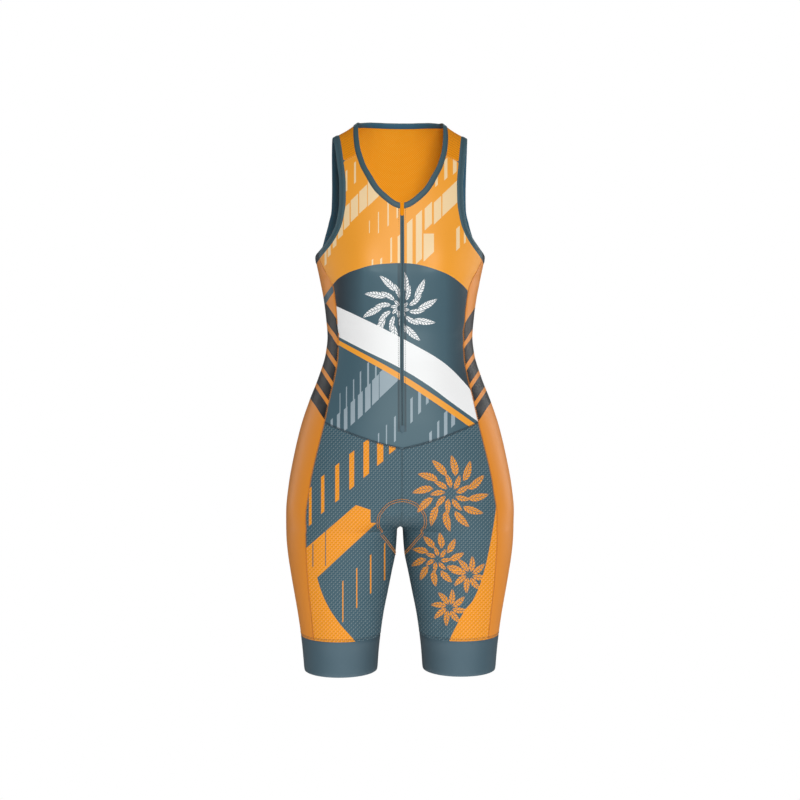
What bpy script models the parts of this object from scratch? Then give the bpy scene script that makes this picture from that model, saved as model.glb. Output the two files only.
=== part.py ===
"""A woman's sleeveless cycling speed suit: a zipped vest top sewn to thigh-length shorts.

The suit keeps the shape that it has when it is worn. The front faces -Y, +Z is up and the origin
lies midway between the two shoulder straps, where the wearer holds it up. Tables and lengths are in
millimetres and degrees, and a mesh is scaled to metres as it is made.

One smooth form carries every piece. A place on it is a pair:
  around  0 at the front centre line (and the inner leg), 90 at the side, 180 at the back centre line
  up      the height below the chest line, and above it the length walked up and over the shoulder
A seam is sampled once and both pieces along it use the same points, so they stay SEAM_GAP apart.
"""

import math
import types

import bpy
import numpy as np

MM = 0.001

SEAM_GAP = 0.3
CLOTH = 1.4
HEM_CLOTH = 1.9
BINDING_CLOTH = 2.4
BINDING_WIDTH = 8.2
BINDING_PROUD = 0.5
HEM_PROUD = 0.25
TRIM_CLOTH = 1.0

CHEST = -250.0
CROTCH = -673.0
CROTCH_BLEND = 46.0
CROTCH_ROUND = 6.0
FOLD_RISE = 5.0
FOLD_ANGLE = 5.0
FOLD_REACH = 40.0
LEG_LEAD = 34.0
SHOULDER_ROLL = 280.0
SHOULDER_REACH = 143.0
HEM_SEAM = -855.0
HEM_EDGE = -914.0
ZIP_HALF = 3.25
ZIP_END = -507.0
ZIP_SUNK = 0.25
GARAGE_HALF = 3.0
GARAGE_LENGTH = 19.0
GARAGE_FOOT = 0.75
STOP_HALF = 4.2
STOP_TOP = -500.0
STOP_POINT = -512.5
STOP_TIP = 0.15
YOKE_NECK_OVER = 48.6
YOKE_ARM_OVER = 49.3
YOKE_BACK_OVER = 104.0
SIDE_TOP_AROUND = 70.0

# Quads along each stretch of the pieces.
TORSO_ROWS = 15
ARMHOLE_ROWS = 12
YOKE_ROWS = 6
YOKE_COLUMNS = 7
SLIT_FOOT_ROWS = 2
ZIP_ROWS = 17
NECK_FRONT_ROWS = 8
NECK_BACK_COLUMNS = 4
SIDE_COLUMNS = 4
BACK_COLUMNS = YOKE_COLUMNS + NECK_BACK_COLUMNS
HIP_ROWS = 12
LEG_ROWS = 10
HEM_ROWS = 3
DENSE = 600
# Small steps along the form: for a normal, and how far round to look for the edge of the zip slit.
NUDGE = 0.02
CENTRE_STEP = 0.5
SLIT_TURN = 5.0
SLIT_STEPS = 101
HALVINGS = 40


def table(columns, *rows):
    return dict(zip(columns.split(), np.array(rows, float).T))


BODY = table(
    "height half_width front back squareness",
    (-150, 146.0, 94, 101, 2.40),
    (-218, 143.0, 99, 101, 2.35),
    (-250, 137.0, 101, 100, 2.30),
    (-285, 130.0, 97, 96, 2.25),
    (-320, 125.5, 90, 90, 2.20),
    (-352, 123.0, 85, 86, 2.20),
    (-380, 126.0, 85, 87, 2.20),
    (-420, 138.0, 90, 93, 2.20),
    (-460, 153.5, 97, 102, 2.25),
    (-500, 167.0, 102, 112, 2.30),
    (-550, 179.0, 103, 121, 2.45),
    (-600, 188.0, 101, 123, 2.75),
    (-640, 192.0, 99, 118, 3.05),
    (-673, 193.0, 98, 112, 3.20),
)
LEG = table(
    "height outer inner front back squareness",
    (-673, 193.0, 4.6, 98, 112, 2.25),
    (-690, 192.5, 5.4, 96, 108, 2.20),
    (-717, 190.0, 7.5, 93, 101, 2.15),
    (-750, 185.0, 14.0, 88, 93, 2.10),
    (-785, 179.0, 21.0, 82, 87, 2.10),
    (-820, 173.0, 28.0, 76, 80, 2.05),
    (-854, 168.0, 33.0, 71, 74, 2.05),
    (-880, 165.0, 36.0, 68, 71, 2.05),
    (-914, 162.0, 38.5, 66, 68, 2.05),
)
RIDGE = table(
    "across height",
    (0, 66.0),
    (25, 57.0),
    (45, 38.0),
    (60, 19.5),
    (72, 9.0),
    (90, -3.8),
    (112, -15.6),
    (145, -33.0),
)
# Soft mounds that the cut gives the form: how far they stand out and how wide they are.
BUST = {"out": 13.0, "across": 62.0, "height": -238.0, "wide": 44.0, "above": 62.0, "below": 46.0}
SEAT = {"out": 11.0, "across": 82.0, "height": -612.0, "wide": 56.0, "above": 62.0, "below": 62.0}

WAIST_FRONT = table(
    "around height", (0, -537.5), (10, -530.2), (20.5, -520.6), (33, -508.0), (46.8, -495.5)
)
WAIST_BACK = table("around height", (133.2, -495.5), (150, -494.0), (180, -492.0))
SIDE_SEAM = table(
    "height around",
    (-855, 48.2),
    (-807, 47.9),
    (-755, 47.4),
    (-704, 46.5),
    (-671, 46.2),
    (-617, 46.2),
    (-585, 46.9),
    (-555, 47.2),
    (-523, 46.9),
    (-495.5, 46.8),
    (-440, 49.2),
    (-412, 50.7),
    (-388, 52.6),
    (-362, 54.8),
    (-330, 55.6),
    (-302, 55.2),
    (-280, 55.0),
    (-262, 57.5),
    (-245, 62.0),
)
# Open edges of the neck and the armhole. Over is 0 at the chest line in front, 90 on the shoulder
# ridge and 180 at the chest line behind.
NECK_EDGE = table(
    "across over",
    (0, 19.9),
    (8, 20.5),
    (20.7, 22.5),
    (37, 26.8),
    (49.7, 33.2),
    (61.3, 41.6),
    (69.8, 54.2),
    (72, 67),
    (72.3, 84),
    (69.5, 93.4),
    (60, 101.6),
    (45, 111.2),
    (25, 117.9),
    (0, 120.5),
)
ARMHOLE_EDGE = table(
    "around over",
    (90, 8.3),
    (67.8, 9.8),
    (52.2, 13.8),
    (44.5, 19.8),
    (41.8, 29.2),
    (41.8, 35.5),
    (44, 50.8),
    (47.5, 75.8),
    (49, 95),
    (49.8, 120),
    (49.8, 135),
    (50.5, 148),
    (53.7, 154.5),
    (58.1, 160),
    (64.5, 166.2),
    (76, 170.7),
    (90, 171.7),
)

ORANGE = (0.78, 0.32, 0.045)
DEEP_ORANGE = (0.62, 0.21, 0.02)
SLATE = (0.075, 0.135, 0.18)
NAVY = (0.045, 0.085, 0.12)


def smooth(xs, ys, x):
    """A curve through the points that never overshoots them (monotone cubic)."""
    order = np.argsort(xs)
    xs, ys = np.asarray(xs)[order], np.asarray(ys)[order]
    step = np.diff(xs)
    slope = np.diff(ys) / step
    first, last = 2 * step[1:] + step[:-1], step[1:] + 2 * step[:-1]
    turning = slope[:-1] * slope[1:] <= 0
    safe = np.where(slope == 0, 1.0, slope)
    steady = np.where(turning, 1.0, first / safe[:-1] + last / safe[1:])
    middle = np.where(turning, 0.0, (first + last) / steady)
    tangent = np.concatenate([slope[:1], middle, slope[-1:]])
    x = np.clip(x, xs[0], xs[-1])
    i = np.clip(np.searchsorted(xs, x) - 1, 0, len(xs) - 2)
    t = (x - xs[i]) / step[i]
    rise = ys[i] * (1 + 2 * t) * (1 - t) ** 2 + ys[i + 1] * t * t * (3 - 2 * t)
    return rise + step[i] * (tangent[i] * t * (1 - t) ** 2 + tangent[i + 1] * t * t * (t - 1))


def at(rows, column, by, value):
    return smooth(rows[by], rows[column], value)


def squared(angle, power):
    """Sine and cosine pushed out from a circle towards a rounded square."""
    s, c = np.sin(angle), np.cos(angle)
    scale = (np.abs(s) ** power + np.abs(c) ** power) ** (-1 / power)
    return scale * s, scale * c


def mound(shape, x, z):
    tall = np.where(z > shape["height"], shape["above"], shape["below"])
    return shape["out"] * np.exp(
        -(((x - shape["across"]) / shape["wide"]) ** 2) - ((z - shape["height"]) / tall) ** 2
    )


def with_mounds(x, y, z, behind):
    return np.where(behind, y + mound(SEAT, x, z), y - mound(BUST, x, z))


def hip_ring(angle, z):
    width, front, back, power = (
        at(BODY, key, "height", z) for key in ("half_width", "front", "back", "squareness")
    )
    s, c = squared(angle, power)
    return width * s, np.where(c > 0, -front * c, -back * c)


def leg_ring(angle, z):
    outer, inner, front, back, power = (
        at(LEG, key, "height", z) for key in ("outer", "inner", "front", "back", "squareness")
    )
    opened = np.clip((CROTCH - z) / CROTCH_ROUND, 0, 1)
    inner = inner * np.sqrt(np.clip(1 - (1 - opened) ** 2, 0, 1))
    s, c = squared(2 * angle + math.radians(LEG_LEAD) * np.sin(2 * angle), power)
    return (outer + inner) / 2 - (outer - inner) / 2 * c, (back - front) / 2 - (back + front) / 2 * s


def below_chest(angle, z):
    """The hip rings, drawn in to the centre seam above the crotch and split into legs below it."""
    above = z - CROTCH
    share = np.clip(above / CROTCH_BLEND, 0, 1)
    at_centre = 1 - np.sqrt(np.clip(1 - (1 - share) ** 2, 0, 1))
    at_side = (1 - share) ** 2 * (1 + 2 * share)
    fold = math.radians(FOLD_ANGLE) * np.clip(np.sqrt(np.clip(above, 0, None) / FOLD_RISE), 0, 1)
    off = np.minimum(angle, math.pi - angle)
    rounded = off**2 / (off + fold + 1e-12)
    near = np.clip(1 - off / math.radians(FOLD_REACH), 0, 1)
    near = near * near * (3 - 2 * near)
    pinch = near * at_centre + (1 - near) * at_side
    off = off + (rounded - off) * near
    bent = np.where(angle <= math.pi / 2, off, math.pi - off)
    crotch_level = np.minimum(z, CROTCH)
    hip_x = hip_ring(angle, z)[0]
    hip_y = hip_ring(bent, z)[1]
    leg_x = leg_ring(angle, crotch_level)[0]
    leg_y = leg_ring(np.where(above <= 0, angle, bent), crotch_level)[1]
    x = np.where(above <= 0, leg_x, (1 - pinch) * hip_x + pinch * leg_x)
    y = np.where(above <= 0, leg_y, (1 - pinch) * hip_y + pinch * leg_y)
    return x, with_mounds(x, y, z, np.cos(angle) < 0), z


def above_chest(angle, z_up):
    """From the chest line over the shoulder ridge, where front and back meet."""
    behind = np.cos(angle) < 0
    toward_side = np.where(behind, math.pi - angle, angle)
    front, back, power = (at(BODY, key, "height", CHEST) for key in ("front", "back", "squareness"))
    s, c = squared(toward_side, power)
    climb = (z_up - CHEST) / SHOULDER_ROLL
    top = at(RIDGE, "height", "across", s * SHOULDER_REACH)
    z = CHEST + (top - CHEST) * np.sin(climb)
    x = at(BODY, "half_width", "height", z) * s
    y = np.where(behind, back, -front) * c * np.cos(climb)
    return x, with_mounds(x, y, z, behind), z


def form(places):
    """Points of the right half for an array of (around, up) places."""
    angle, up = np.radians(places[..., 0]), places[..., 1]
    low = below_chest(angle, np.minimum(up, CHEST))
    high = above_chest(angle, np.maximum(up, CHEST))
    return np.stack([np.where(up <= CHEST, a, b) for a, b in zip(low, high)], -1)


def tangents(places, shape):
    """The form's two directions of travel at each place, by small steps that stay on it."""
    around, up = places[..., 0], places[..., 1]
    left = np.stack([np.maximum(around - NUDGE, 0), up], -1)
    right = np.stack([np.minimum(around + NUDGE, 180), up], -1)
    down = np.stack([around, up - NUDGE], -1)
    higher = np.stack([around, up + NUDGE], -1)
    span = (right - left)[..., :1]
    return (shape(right) - shape(left)) / span, (shape(higher) - shape(down)) / (2 * NUDGE)


def unit(vectors):
    return vectors / np.maximum(np.linalg.norm(vectors, axis=-1, keepdims=True), 1e-12)


def outward(places):
    """Unit normals. On the centre line above the crotch they lie in the plane of symmetry."""
    along, rising = tangents(places, form)
    normal = unit(np.cross(along, rising))
    centre = (np.abs(np.sin(np.radians(places[..., 0]))) < 1e-6) & (places[..., 1] >= CROTCH - 1e-6)
    below = np.stack([places[..., 0], np.maximum(places[..., 1] - CENTRE_STEP, CROTCH)], -1)
    step = form(places + [0, CENTRE_STEP]) - form(below)
    side = np.where(places[..., 0] < 90, 1.0, -1.0)
    flat = unit(np.stack([0 * side, -step[..., 2] * side, step[..., 1] * side], -1))
    return np.where(centre[..., None], flat, normal)


def fold(walk):
    """(around from the centre line, over the shoulder) as an (around, up) place."""
    around, over = walk[..., 0], walk[..., 1]
    behind = over > 90
    climb = np.radians(np.where(behind, 180 - over, over))
    return np.stack([np.where(behind, 180 - around, around), CHEST + SHOULDER_ROLL * climb], -1)


def over_shoulder(walk):
    return form(fold(walk))


def around_at(across, over):
    """How far around a point at this distance from the centre plane lies."""
    low, high = np.zeros(len(across)), np.full(len(across), 90.0)
    for _ in range(HALVINGS):
        middle = (low + high) / 2
        short = over_shoulder(np.stack([middle, over], -1))[:, 0] < across
        low, high = np.where(short, middle, low), np.where(short, high, middle)
    return (low + high) / 2


def lengths(points):
    return np.concatenate([[0], np.cumsum(np.linalg.norm(np.diff(points, axis=0), axis=1))])


def pick(line, where):
    """Places on a dense line at fractional indices."""
    index = np.arange(len(line))
    return np.stack([np.interp(where, index, line[:, k]) for k in range(2)], -1)


def spread(line, shape, marks, counts):
    """Fractional indices that cut each stretch between two marks into equal lengths."""
    run = lengths(shape(line))
    index = np.arange(len(line))
    parts = []
    for start, end, count in zip(marks[:-1], marks[1:], counts):
        ends = np.interp([start, end], index, run)
        parts.append(np.interp(np.linspace(ends[0], ends[1], count + 1), run, index)[:-1])
    return np.concatenate([*parts, [marks[-1]]])


def dense(columns, shape):
    """A smooth line through a table's two columns, in many short steps of about equal length."""
    first, second = columns
    run = lengths(shape(np.stack([first, second], -1)))
    t = np.linspace(0, run[-1], DENSE)
    return np.stack([smooth(run, first, t), smooth(run, second, t)], -1)


def crossing(line, column, value, start=0):
    """The first fractional index at or after start where a column of a line passes a value."""
    level = line[:, column] - value
    change = np.nonzero(level[:-1] * level[1:] <= 0)[0]
    i = change[change >= start][0]
    return i + level[i] / (level[i] - level[i + 1])


def beside(line, shape, width, hand):
    """The line moved sideways over the form by a width, to its right (1) or its left (-1).

    Its two ends run level, so they move straight up or down."""
    points = shape(line)
    travel = np.gradient(points, axis=0)
    travel[[0, -1], 2] = 0
    travel = unit(travel)
    first = (shape(line + [NUDGE, 0]) - shape(line - [NUDGE, 0])) / (2 * NUDGE)
    second = (shape(line + [0, NUDGE]) - shape(line - [0, NUDGE])) / (2 * NUDGE)
    normal = unit(np.cross(first, second))
    aim = width * hand * np.cross(travel, normal)
    moved = np.array([
        np.linalg.lstsq(np.stack([a, b], -1), goal, rcond=None)[0]
        for a, b, goal in zip(first, second, aim)
    ])
    moved[[0, -1], 0] = 0
    return line + moved


def filled(bottom, top, left, right):
    """A grid of places inside four edges (Coons patch): rows run up, columns run around."""
    u = np.linspace(0, 1, len(bottom))[None, :, None]
    v = np.linspace(0, 1, len(left))[:, None, None]
    ruled = (1 - v) * bottom[None] + v * top[None] + (1 - u) * left[:, None] + u * right[:, None]
    corners = (1 - u) * (1 - v) * bottom[0] + u * (1 - v) * bottom[-1]
    return ruled - corners - (1 - u) * v * top[0] - u * v * top[-1]


def mirrored(grid):
    return grid[:, ::-1] * [-1, 1, 1]


def material(name, colour, roughness):
    made = bpy.data.materials.new(name)
    made.use_nodes = True
    shader = made.node_tree.nodes["Principled BSDF"]
    shader.inputs["Base Color"].default_value = (*colour, 1)
    shader.inputs["Roughness"].default_value = roughness
    shader.inputs["Metallic"].default_value = 0.0
    return made


def boundary(quads):
    """Directed edges that only one quad has."""
    edges = np.concatenate([quads[:, [k, (k + 1) % 4]] for k in range(4)])
    code = edges.min(1) * (quads.max() + 1) + edges.max(1)
    _, first, count = np.unique(code, return_index=True, return_counts=True)
    return edges[first[count == 1]]


def halved(quads, points):
    """Two triangles for each quad, cut along its shorter diagonal, the same way on both faces of a wall."""
    first = np.linalg.norm(points[quads[:, 0]] - points[quads[:, 2]], axis=1)
    second = np.linalg.norm(points[quads[:, 1]] - points[quads[:, 3]], axis=1)
    turned = np.where((second < first)[:, None], np.roll(quads, -1, axis=1), quads)
    return np.concatenate([turned[:, [0, 1, 2]], turned[:, [0, 2, 3]]])


def trimmed(points, normals, edges):
    """The points with the outline drawn in by half a seam gap, in the cloth's own plane."""
    pull = np.zeros((len(points), 2, 3))
    travel = unit(points[edges[:, 1]] - points[edges[:, 0]])
    for end in (0, 1):
        vertex = edges[:, end]
        pull[vertex, end] = unit(np.cross(normals[vertex], travel))
    total = pull.sum(1)
    share = np.maximum(1 + (pull[:, 0] * pull[:, 1]).sum(-1, keepdims=True), 0.3)
    return points + total / share * SEAM_GAP / 2


def cloth(name, points, normals, look, wall=CLOTH, proud=0.0, keep=None, closed=""):
    """A wall of cloth as one solid: outer points, inner points and the rims between them."""
    rows, columns = points.shape[:2]
    index = np.arange(rows * columns).reshape(rows, columns)
    if closed == "rows":
        index = np.vstack([index, index[:1]])
    if closed == "columns":
        index = np.hstack([index, index[:, :1]])
    quads = np.stack([index[:-1, :-1], index[:-1, 1:], index[1:, 1:], index[1:, :-1]], -1)
    quads = quads[keep] if keep is not None else quads.reshape(-1, 4)
    used, flat = np.unique(quads, return_inverse=True)
    quads = flat.reshape(-1, 4)
    normals = normals.reshape(-1, 3)[used]
    outer = points.reshape(-1, 3)[used] + proud * normals
    edges = boundary(quads)
    outer = trimmed(outer, normals, edges)
    inner = outer - wall * normals
    count = len(outer)
    face = halved(quads, outer)
    rims = np.stack([edges[:, 1], edges[:, 0], edges[:, 0] + count, edges[:, 1] + count], -1)
    faces = [*face.tolist(), *(face[:, ::-1] + count).tolist(), *rims.tolist()]
    mesh = bpy.data.meshes.new(name)
    mesh.from_pydata((np.concatenate([outer, inner]) * MM).tolist(), [], faces)
    mesh.materials.append(look)
    mesh.shade_smooth()
    mesh.set_sharp_from_angle(angle=math.radians(40))
    piece = bpy.data.objects.new(name, mesh)
    bpy.context.scene.collection.objects.link(piece)
    return piece


def on_form(places):
    return form(places), outward(places)


def pair(name, points, normals, look, **options):
    """The right piece and its mirror image on the left."""
    cloth(f"{name}_right", points, normals, look, **options)
    cloth(f"{name}_left", mirrored(points), mirrored(normals), look, **options)


def whole(grid, centre_first=True):
    """One grid across the centre line from its right half. Its columns start or end on that line."""
    if centre_first:
        return np.concatenate([mirrored(grid), grid[:, 1:]], axis=1)
    return np.concatenate([grid, mirrored(grid)[:, 1:]], axis=1)


def stretches(line, first, second):
    """A line cut into three after so many steps and so many more."""
    return line[: first + 1], line[first : first + second + 1], line[first + second :]


def level_line(start, end, count, height):
    return np.stack([np.linspace(start, end, count + 1), np.full(count + 1, height)], -1)


def turn_to(reach, height):
    """How far around the form lies this distance from the centre plane, near the front centre line."""
    turn = np.linspace(0, SLIT_TURN, SLIT_STEPS)
    return np.interp(reach, form(np.stack([turn, np.full(SLIT_STEPS, height)], -1))[:, 0], turn)


def at_slit(line):
    """Where a neck line passes the edge of the zip slit."""
    return crossing(over_shoulder(line), 0, ZIP_HALF)


def neck_seams(seam):
    """The neck's open edge and its seam line, from the zip slit round to the centre back."""
    around = around_at(NECK_EDGE["across"], NECK_EDGE["over"])
    free = dense((around, NECK_EDGE["over"]), over_shoulder)
    line = beside(free, over_shoulder, BINDING_WIDTH, 1)
    yoke_marks = [crossing(line, 1, over) for over in (YOKE_NECK_OVER, YOKE_BACK_OVER)]
    counts = (NECK_FRONT_ROWS, YOKE_ROWS, NECK_BACK_COLUMNS)
    where = spread(line, over_shoulder, [at_slit(line), *yoke_marks, DENSE - 1.0], counts)
    seam.neck_free = pick(free, np.append(at_slit(free), where[1:]))
    seam.neck = pick(line, where)
    seam.neck_front, seam.neck_yoke, seam.neck_back = stretches(seam.neck, *counts[:2])


def armhole_seams(seam):
    """The armhole's open edge and its seam line, as far as the side panel's top corners."""
    free = dense((ARMHOLE_EDGE["around"], ARMHOLE_EDGE["over"]), over_shoulder)
    line = beside(free, over_shoulder, BINDING_WIDTH, -1)
    half_turn = DENSE / 2
    marks = [
        crossing(line, 0, SIDE_TOP_AROUND),
        crossing(line, 1, YOKE_ARM_OVER),
        crossing(line, 1, YOKE_BACK_OVER),
        crossing(line, 0, SIDE_TOP_AROUND, half_turn),
    ]
    counts = (ARMHOLE_ROWS, YOKE_ROWS, ARMHOLE_ROWS)
    where = spread(line, over_shoulder, marks, counts)
    seam.arm_free, seam.arm = pick(free, where), pick(line, where)
    seam.arm_front, seam.arm_yoke, seam.arm_back = stretches(seam.arm, *counts[:2])
    first, last = int(marks[0]) + 1, int(marks[-1]) + 1
    seam.low_free = np.concatenate([free[last:], free[:first]])
    seam.low = np.concatenate([line[last:], line[:first]])


def yoke_seams(seam):
    across = np.linspace(0, 1, YOKE_COLUMNS + 1)[:, None]
    seam.yoke_front = seam.neck_yoke[0] * (1 - across) + seam.arm_yoke[0] * across
    seam.yoke_back = seam.neck_yoke[-1] * (1 - across) + seam.arm_yoke[-1] * across


def side_line(top_place, behind):
    """A side panel's seam from the hem to the armhole."""
    height = np.append(SIDE_SEAM["height"], top_place[1])
    around = np.append(SIDE_SEAM["around"], 180 - top_place[0] if behind else top_place[0])
    up = np.linspace(height[0], height[-1], DENSE)
    turned = smooth(height, around, up)
    line = np.stack([180 - turned if behind else turned, up], -1)
    levels = [crossing(line, 1, level) for level in (CROTCH, WAIST_FRONT["height"][-1])]
    return pick(line, spread(line, form, [0.0, *levels, DENSE - 1.0], (LEG_ROWS, HIP_ROWS, TORSO_ROWS)))


def side_seams(seam):
    seam.side_front = side_line(fold(seam.arm_front[0]), False)
    seam.side_back = side_line(fold(seam.arm_back[-1]), True)
    loop = fold(seam.low[::-1])
    loop[0], loop[-1] = seam.side_front[-1], seam.side_back[-1]
    seam.armpit = pick(loop, spread(loop, form, [0.0, len(loop) - 1.0], (SIDE_COLUMNS,)))


def waist_line(rows, first_stretch, counts):
    around = np.linspace(rows["around"][0], rows["around"][-1], DENSE)
    line = np.stack([around, smooth(rows["around"], rows["height"], around)], -1)
    marks = [0.0, *(crossing(form(line), 0, reach) for reach in first_stretch), DENSE - 1.0]
    return pick(line, spread(line, form, marks, counts))


def waist_seams(seam):
    row = LEG_ROWS + HIP_ROWS
    seam.waist_front = waist_line(WAIST_FRONT, [ZIP_HALF], (1, YOKE_COLUMNS))
    seam.waist_back = waist_line(WAIST_BACK, [], (BACK_COLUMNS,))
    seam.waist_front[-1], seam.waist_back[0] = seam.side_front[row], seam.side_back[row]


def slit_seams(seam):
    """The edge of the zip slit from the waist seam to the neck."""
    top = fold(seam.neck_front[0])
    low = np.linspace(seam.waist_front[1][1], ZIP_END, SLIT_FOOT_ROWS + 1)
    high = np.linspace(ZIP_END, top[1], ZIP_ROWS + 1)
    seam.slit_foot, seam.slit = (
        np.array([(turn_to(ZIP_HALF, level), level) for level in levels]) for levels in (low, high)
    )
    seam.slit_foot[0], seam.slit[-1] = seam.waist_front[1], top


def all_seams():
    """Every line that two pieces share, each sampled once."""
    seam = types.SimpleNamespace()
    for cut in (neck_seams, armhole_seams, yoke_seams, side_seams, waist_seams, slit_seams):
        cut(seam)
    return seam


def shoulder_yokes(seam, look):
    yoke = filled(seam.yoke_front, seam.yoke_back, seam.neck_yoke, seam.arm_yoke)
    pair("shoulder_yoke", *on_form(fold(yoke)), look)


def front_bodice(seam, look):
    """The vest's front, one piece from armhole to armhole, open along the zip."""
    left = np.concatenate([seam.slit_foot[:-1], seam.slit[:-1], fold(seam.neck_front)])
    right = np.concatenate([seam.side_front[LEG_ROWS + HIP_ROWS : -1], fold(seam.arm_front)])
    half = filled(seam.waist_front[1:], fold(seam.yoke_front), left, right)
    middle = np.stack([0 * left[:, 0], left[:, 1]], -1)
    middle[0] = seam.waist_front[0]
    points, normals = on_form(np.concatenate([middle[:, None], half], axis=1))
    keep = np.ones((len(left) - 1, 2 * (YOKE_COLUMNS + 1)), bool)
    keep[SLIT_FOOT_ROWS:, YOKE_COLUMNS : YOKE_COLUMNS + 2] = False
    cloth("front_bodice", whole(points), whole(normals), look, keep=keep)


def back_bodice(seam, look):
    left = np.concatenate([seam.side_back[LEG_ROWS + HIP_ROWS : -1], fold(seam.arm_back)[::-1]])
    top = np.concatenate([fold(seam.yoke_back)[::-1], fold(seam.neck_back)[1:]])
    rise = np.linspace(seam.waist_back[-1][1], top[-1][1], len(left))
    right = np.stack([np.full(len(left), 180.0), rise], -1)
    points, normals = on_form(filled(seam.waist_back, top, left, right))
    cloth("back_bodice", whole(points, False), whole(normals, False), look)


def side_panels(seam, look):
    hem = level_line(seam.side_front[0][0], seam.side_back[0][0], SIDE_COLUMNS, HEM_SEAM)
    pair("side_panel", *on_form(filled(hem, seam.armpit, seam.side_front, seam.side_back)), look)


def centre_line(top, around):
    """The inner leg seam and the centre seam above it, with short steps near the crotch."""
    up = CROTCH + (top - CROTCH) * np.linspace(0, 1, DENSE) ** 3
    line = np.stack([np.full(DENSE, around), up], -1)
    above = pick(line, spread(line, form, [0.0, DENSE - 1.0], (HIP_ROWS,)))
    inseam = np.linspace(HEM_SEAM, CROTCH, LEG_ROWS + 1)[:-1]
    return np.concatenate([np.stack([np.full(LEG_ROWS, around), inseam], -1), above])


def leg_fronts(seam, look):
    side = seam.side_front[: LEG_ROWS + HIP_ROWS + 1]
    hem = level_line(0, side[0][0], YOKE_COLUMNS + 1, HEM_SEAM)
    middle = centre_line(seam.waist_front[0][1], 0.0)
    pair("leg_front", *on_form(filled(hem, seam.waist_front, middle, side)), look)
    return hem


def leg_backs(seam, look):
    side = seam.side_back[: LEG_ROWS + HIP_ROWS + 1]
    hem = level_line(side[0][0], 180, BACK_COLUMNS, HEM_SEAM)
    middle = centre_line(seam.waist_back[-1][1], 180.0)
    pair("leg_back", *on_form(filled(hem, seam.waist_back, side, middle)), look)
    return hem


def hem_bands(seam, front_hem, back_hem, look):
    """Each gripper band is one ring, with a corner wherever a leg seam meets it."""
    side = level_line(front_hem[-1][0], back_hem[0][0], SIDE_COLUMNS, HEM_SEAM)
    turn = np.concatenate([front_hem[:-1], side[:-1], back_hem[:-1]])[:, 0]
    heights = np.linspace(HEM_EDGE, HEM_SEAM, HEM_ROWS + 1)
    places = np.stack(np.meshgrid(turn, heights), -1)
    pair("hem_band", *on_form(places), look, wall=HEM_CLOTH, proud=HEM_PROUD, closed="columns")


def neck_binding(seam, look):
    """One strip from the zip round the neck and back to the zip."""
    strip = np.stack([seam.neck_free, (seam.neck_free + seam.neck) / 2, seam.neck], 1)
    grids = on_form(fold(strip))
    loop = [np.concatenate([grid, grid[-2::-1] * [-1, 1, 1]]) for grid in grids]
    cloth("neck_binding", *loop, look, wall=BINDING_CLOTH, proud=BINDING_PROUD)


def armhole_bindings(seam, look):
    """A closed strip round each armhole, with the side panel's corners where it passes under the arm."""
    under = seam.armpit[::-1][1:-1]
    low, low_free = fold(seam.low), fold(seam.low_free)
    nearest = [np.argmin(np.abs(low[:, 0] - place[0])) for place in under]
    edge, normal = on_form(np.concatenate([fold(seam.arm), under]))
    free, free_normal = on_form(np.concatenate([fold(seam.arm_free), low_free[nearest]]))
    points = np.stack([edge, (edge + free) / 2, free], 1)
    normals = np.stack([normal, unit(normal + free_normal), free_normal], 1)
    options = {"wall": BINDING_CLOTH, "proud": BINDING_PROUD, "closed": "rows"}
    pair("armhole_binding", points, normals, look, **options)


def front_strip(name, edge, levels, look, **options):
    """A narrow strip up the front centre line, from how far around its edge lies at each level."""
    half = np.stack([np.stack([0 * edge, levels], -1), np.stack([edge, levels], -1)], 1)
    points, normals = on_form(half)
    cloth(name, whole(points), whole(normals), look, **options)


def zip_strip(seam, look):
    top = fold(seam.neck_free[0])
    edge, levels = (
        np.append(seam.slit[:-1, k], np.linspace(seam.slit[-1][k], top[k], 3)) for k in (0, 1)
    )
    front_strip("zip", edge, levels, look, proud=-ZIP_SUNK)


def laid_patch(name, half_widths, levels, look):
    """A small piece that lies on the front just clear of the cloth under it."""
    edge = np.array([turn_to(width, level) for width, level in zip(half_widths, levels)])
    front_strip(name, edge, levels, look, wall=TRIM_CLOTH, proud=SEAM_GAP + TRIM_CLOTH)


def zip_garage(seam, look):
    top = fold(seam.neck_free[0])[1]
    levels = np.linspace(top - GARAGE_LENGTH, top, 3)
    laid_patch("zip_garage", (GARAGE_HALF * GARAGE_FOOT, GARAGE_HALF, GARAGE_HALF), levels, look)


def zip_stop(look):
    levels = np.array([STOP_POINT, STOP_POINT + STOP_HALF, STOP_TOP])
    laid_patch("zip_stop", (STOP_HALF * STOP_TIP, STOP_HALF, STOP_HALF), levels, look)


def clear_scene():
    for old in list(bpy.data.objects):
        bpy.data.objects.remove(old, do_unlink=True)


def main():
    clear_scene()
    seam = all_seams()
    knit_orange = material("printed_knit_orange", ORANGE, 0.62)
    knit_slate = material("printed_knit_slate", SLATE, 0.62)
    mesh_orange = material("mesh_knit_orange", DEEP_ORANGE, 0.7)
    binding = material("binding_navy", NAVY, 0.55)
    shoulder_yokes(seam, mesh_orange)
    front_bodice(seam, knit_orange)
    back_bodice(seam, knit_orange)
    side_panels(seam, knit_orange)
    front_hem = leg_fronts(seam, knit_slate)
    back_hem = leg_backs(seam, knit_orange)
    hem_bands(seam, front_hem, back_hem, material("gripper_band_slate", SLATE, 0.5))
    neck_binding(seam, binding)
    armhole_bindings(seam, binding)
    zip_strip(seam, material("zip_tape_slate", SLATE, 0.5))
    zip_garage(seam, knit_orange)
    zip_stop(knit_slate)


main()
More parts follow.
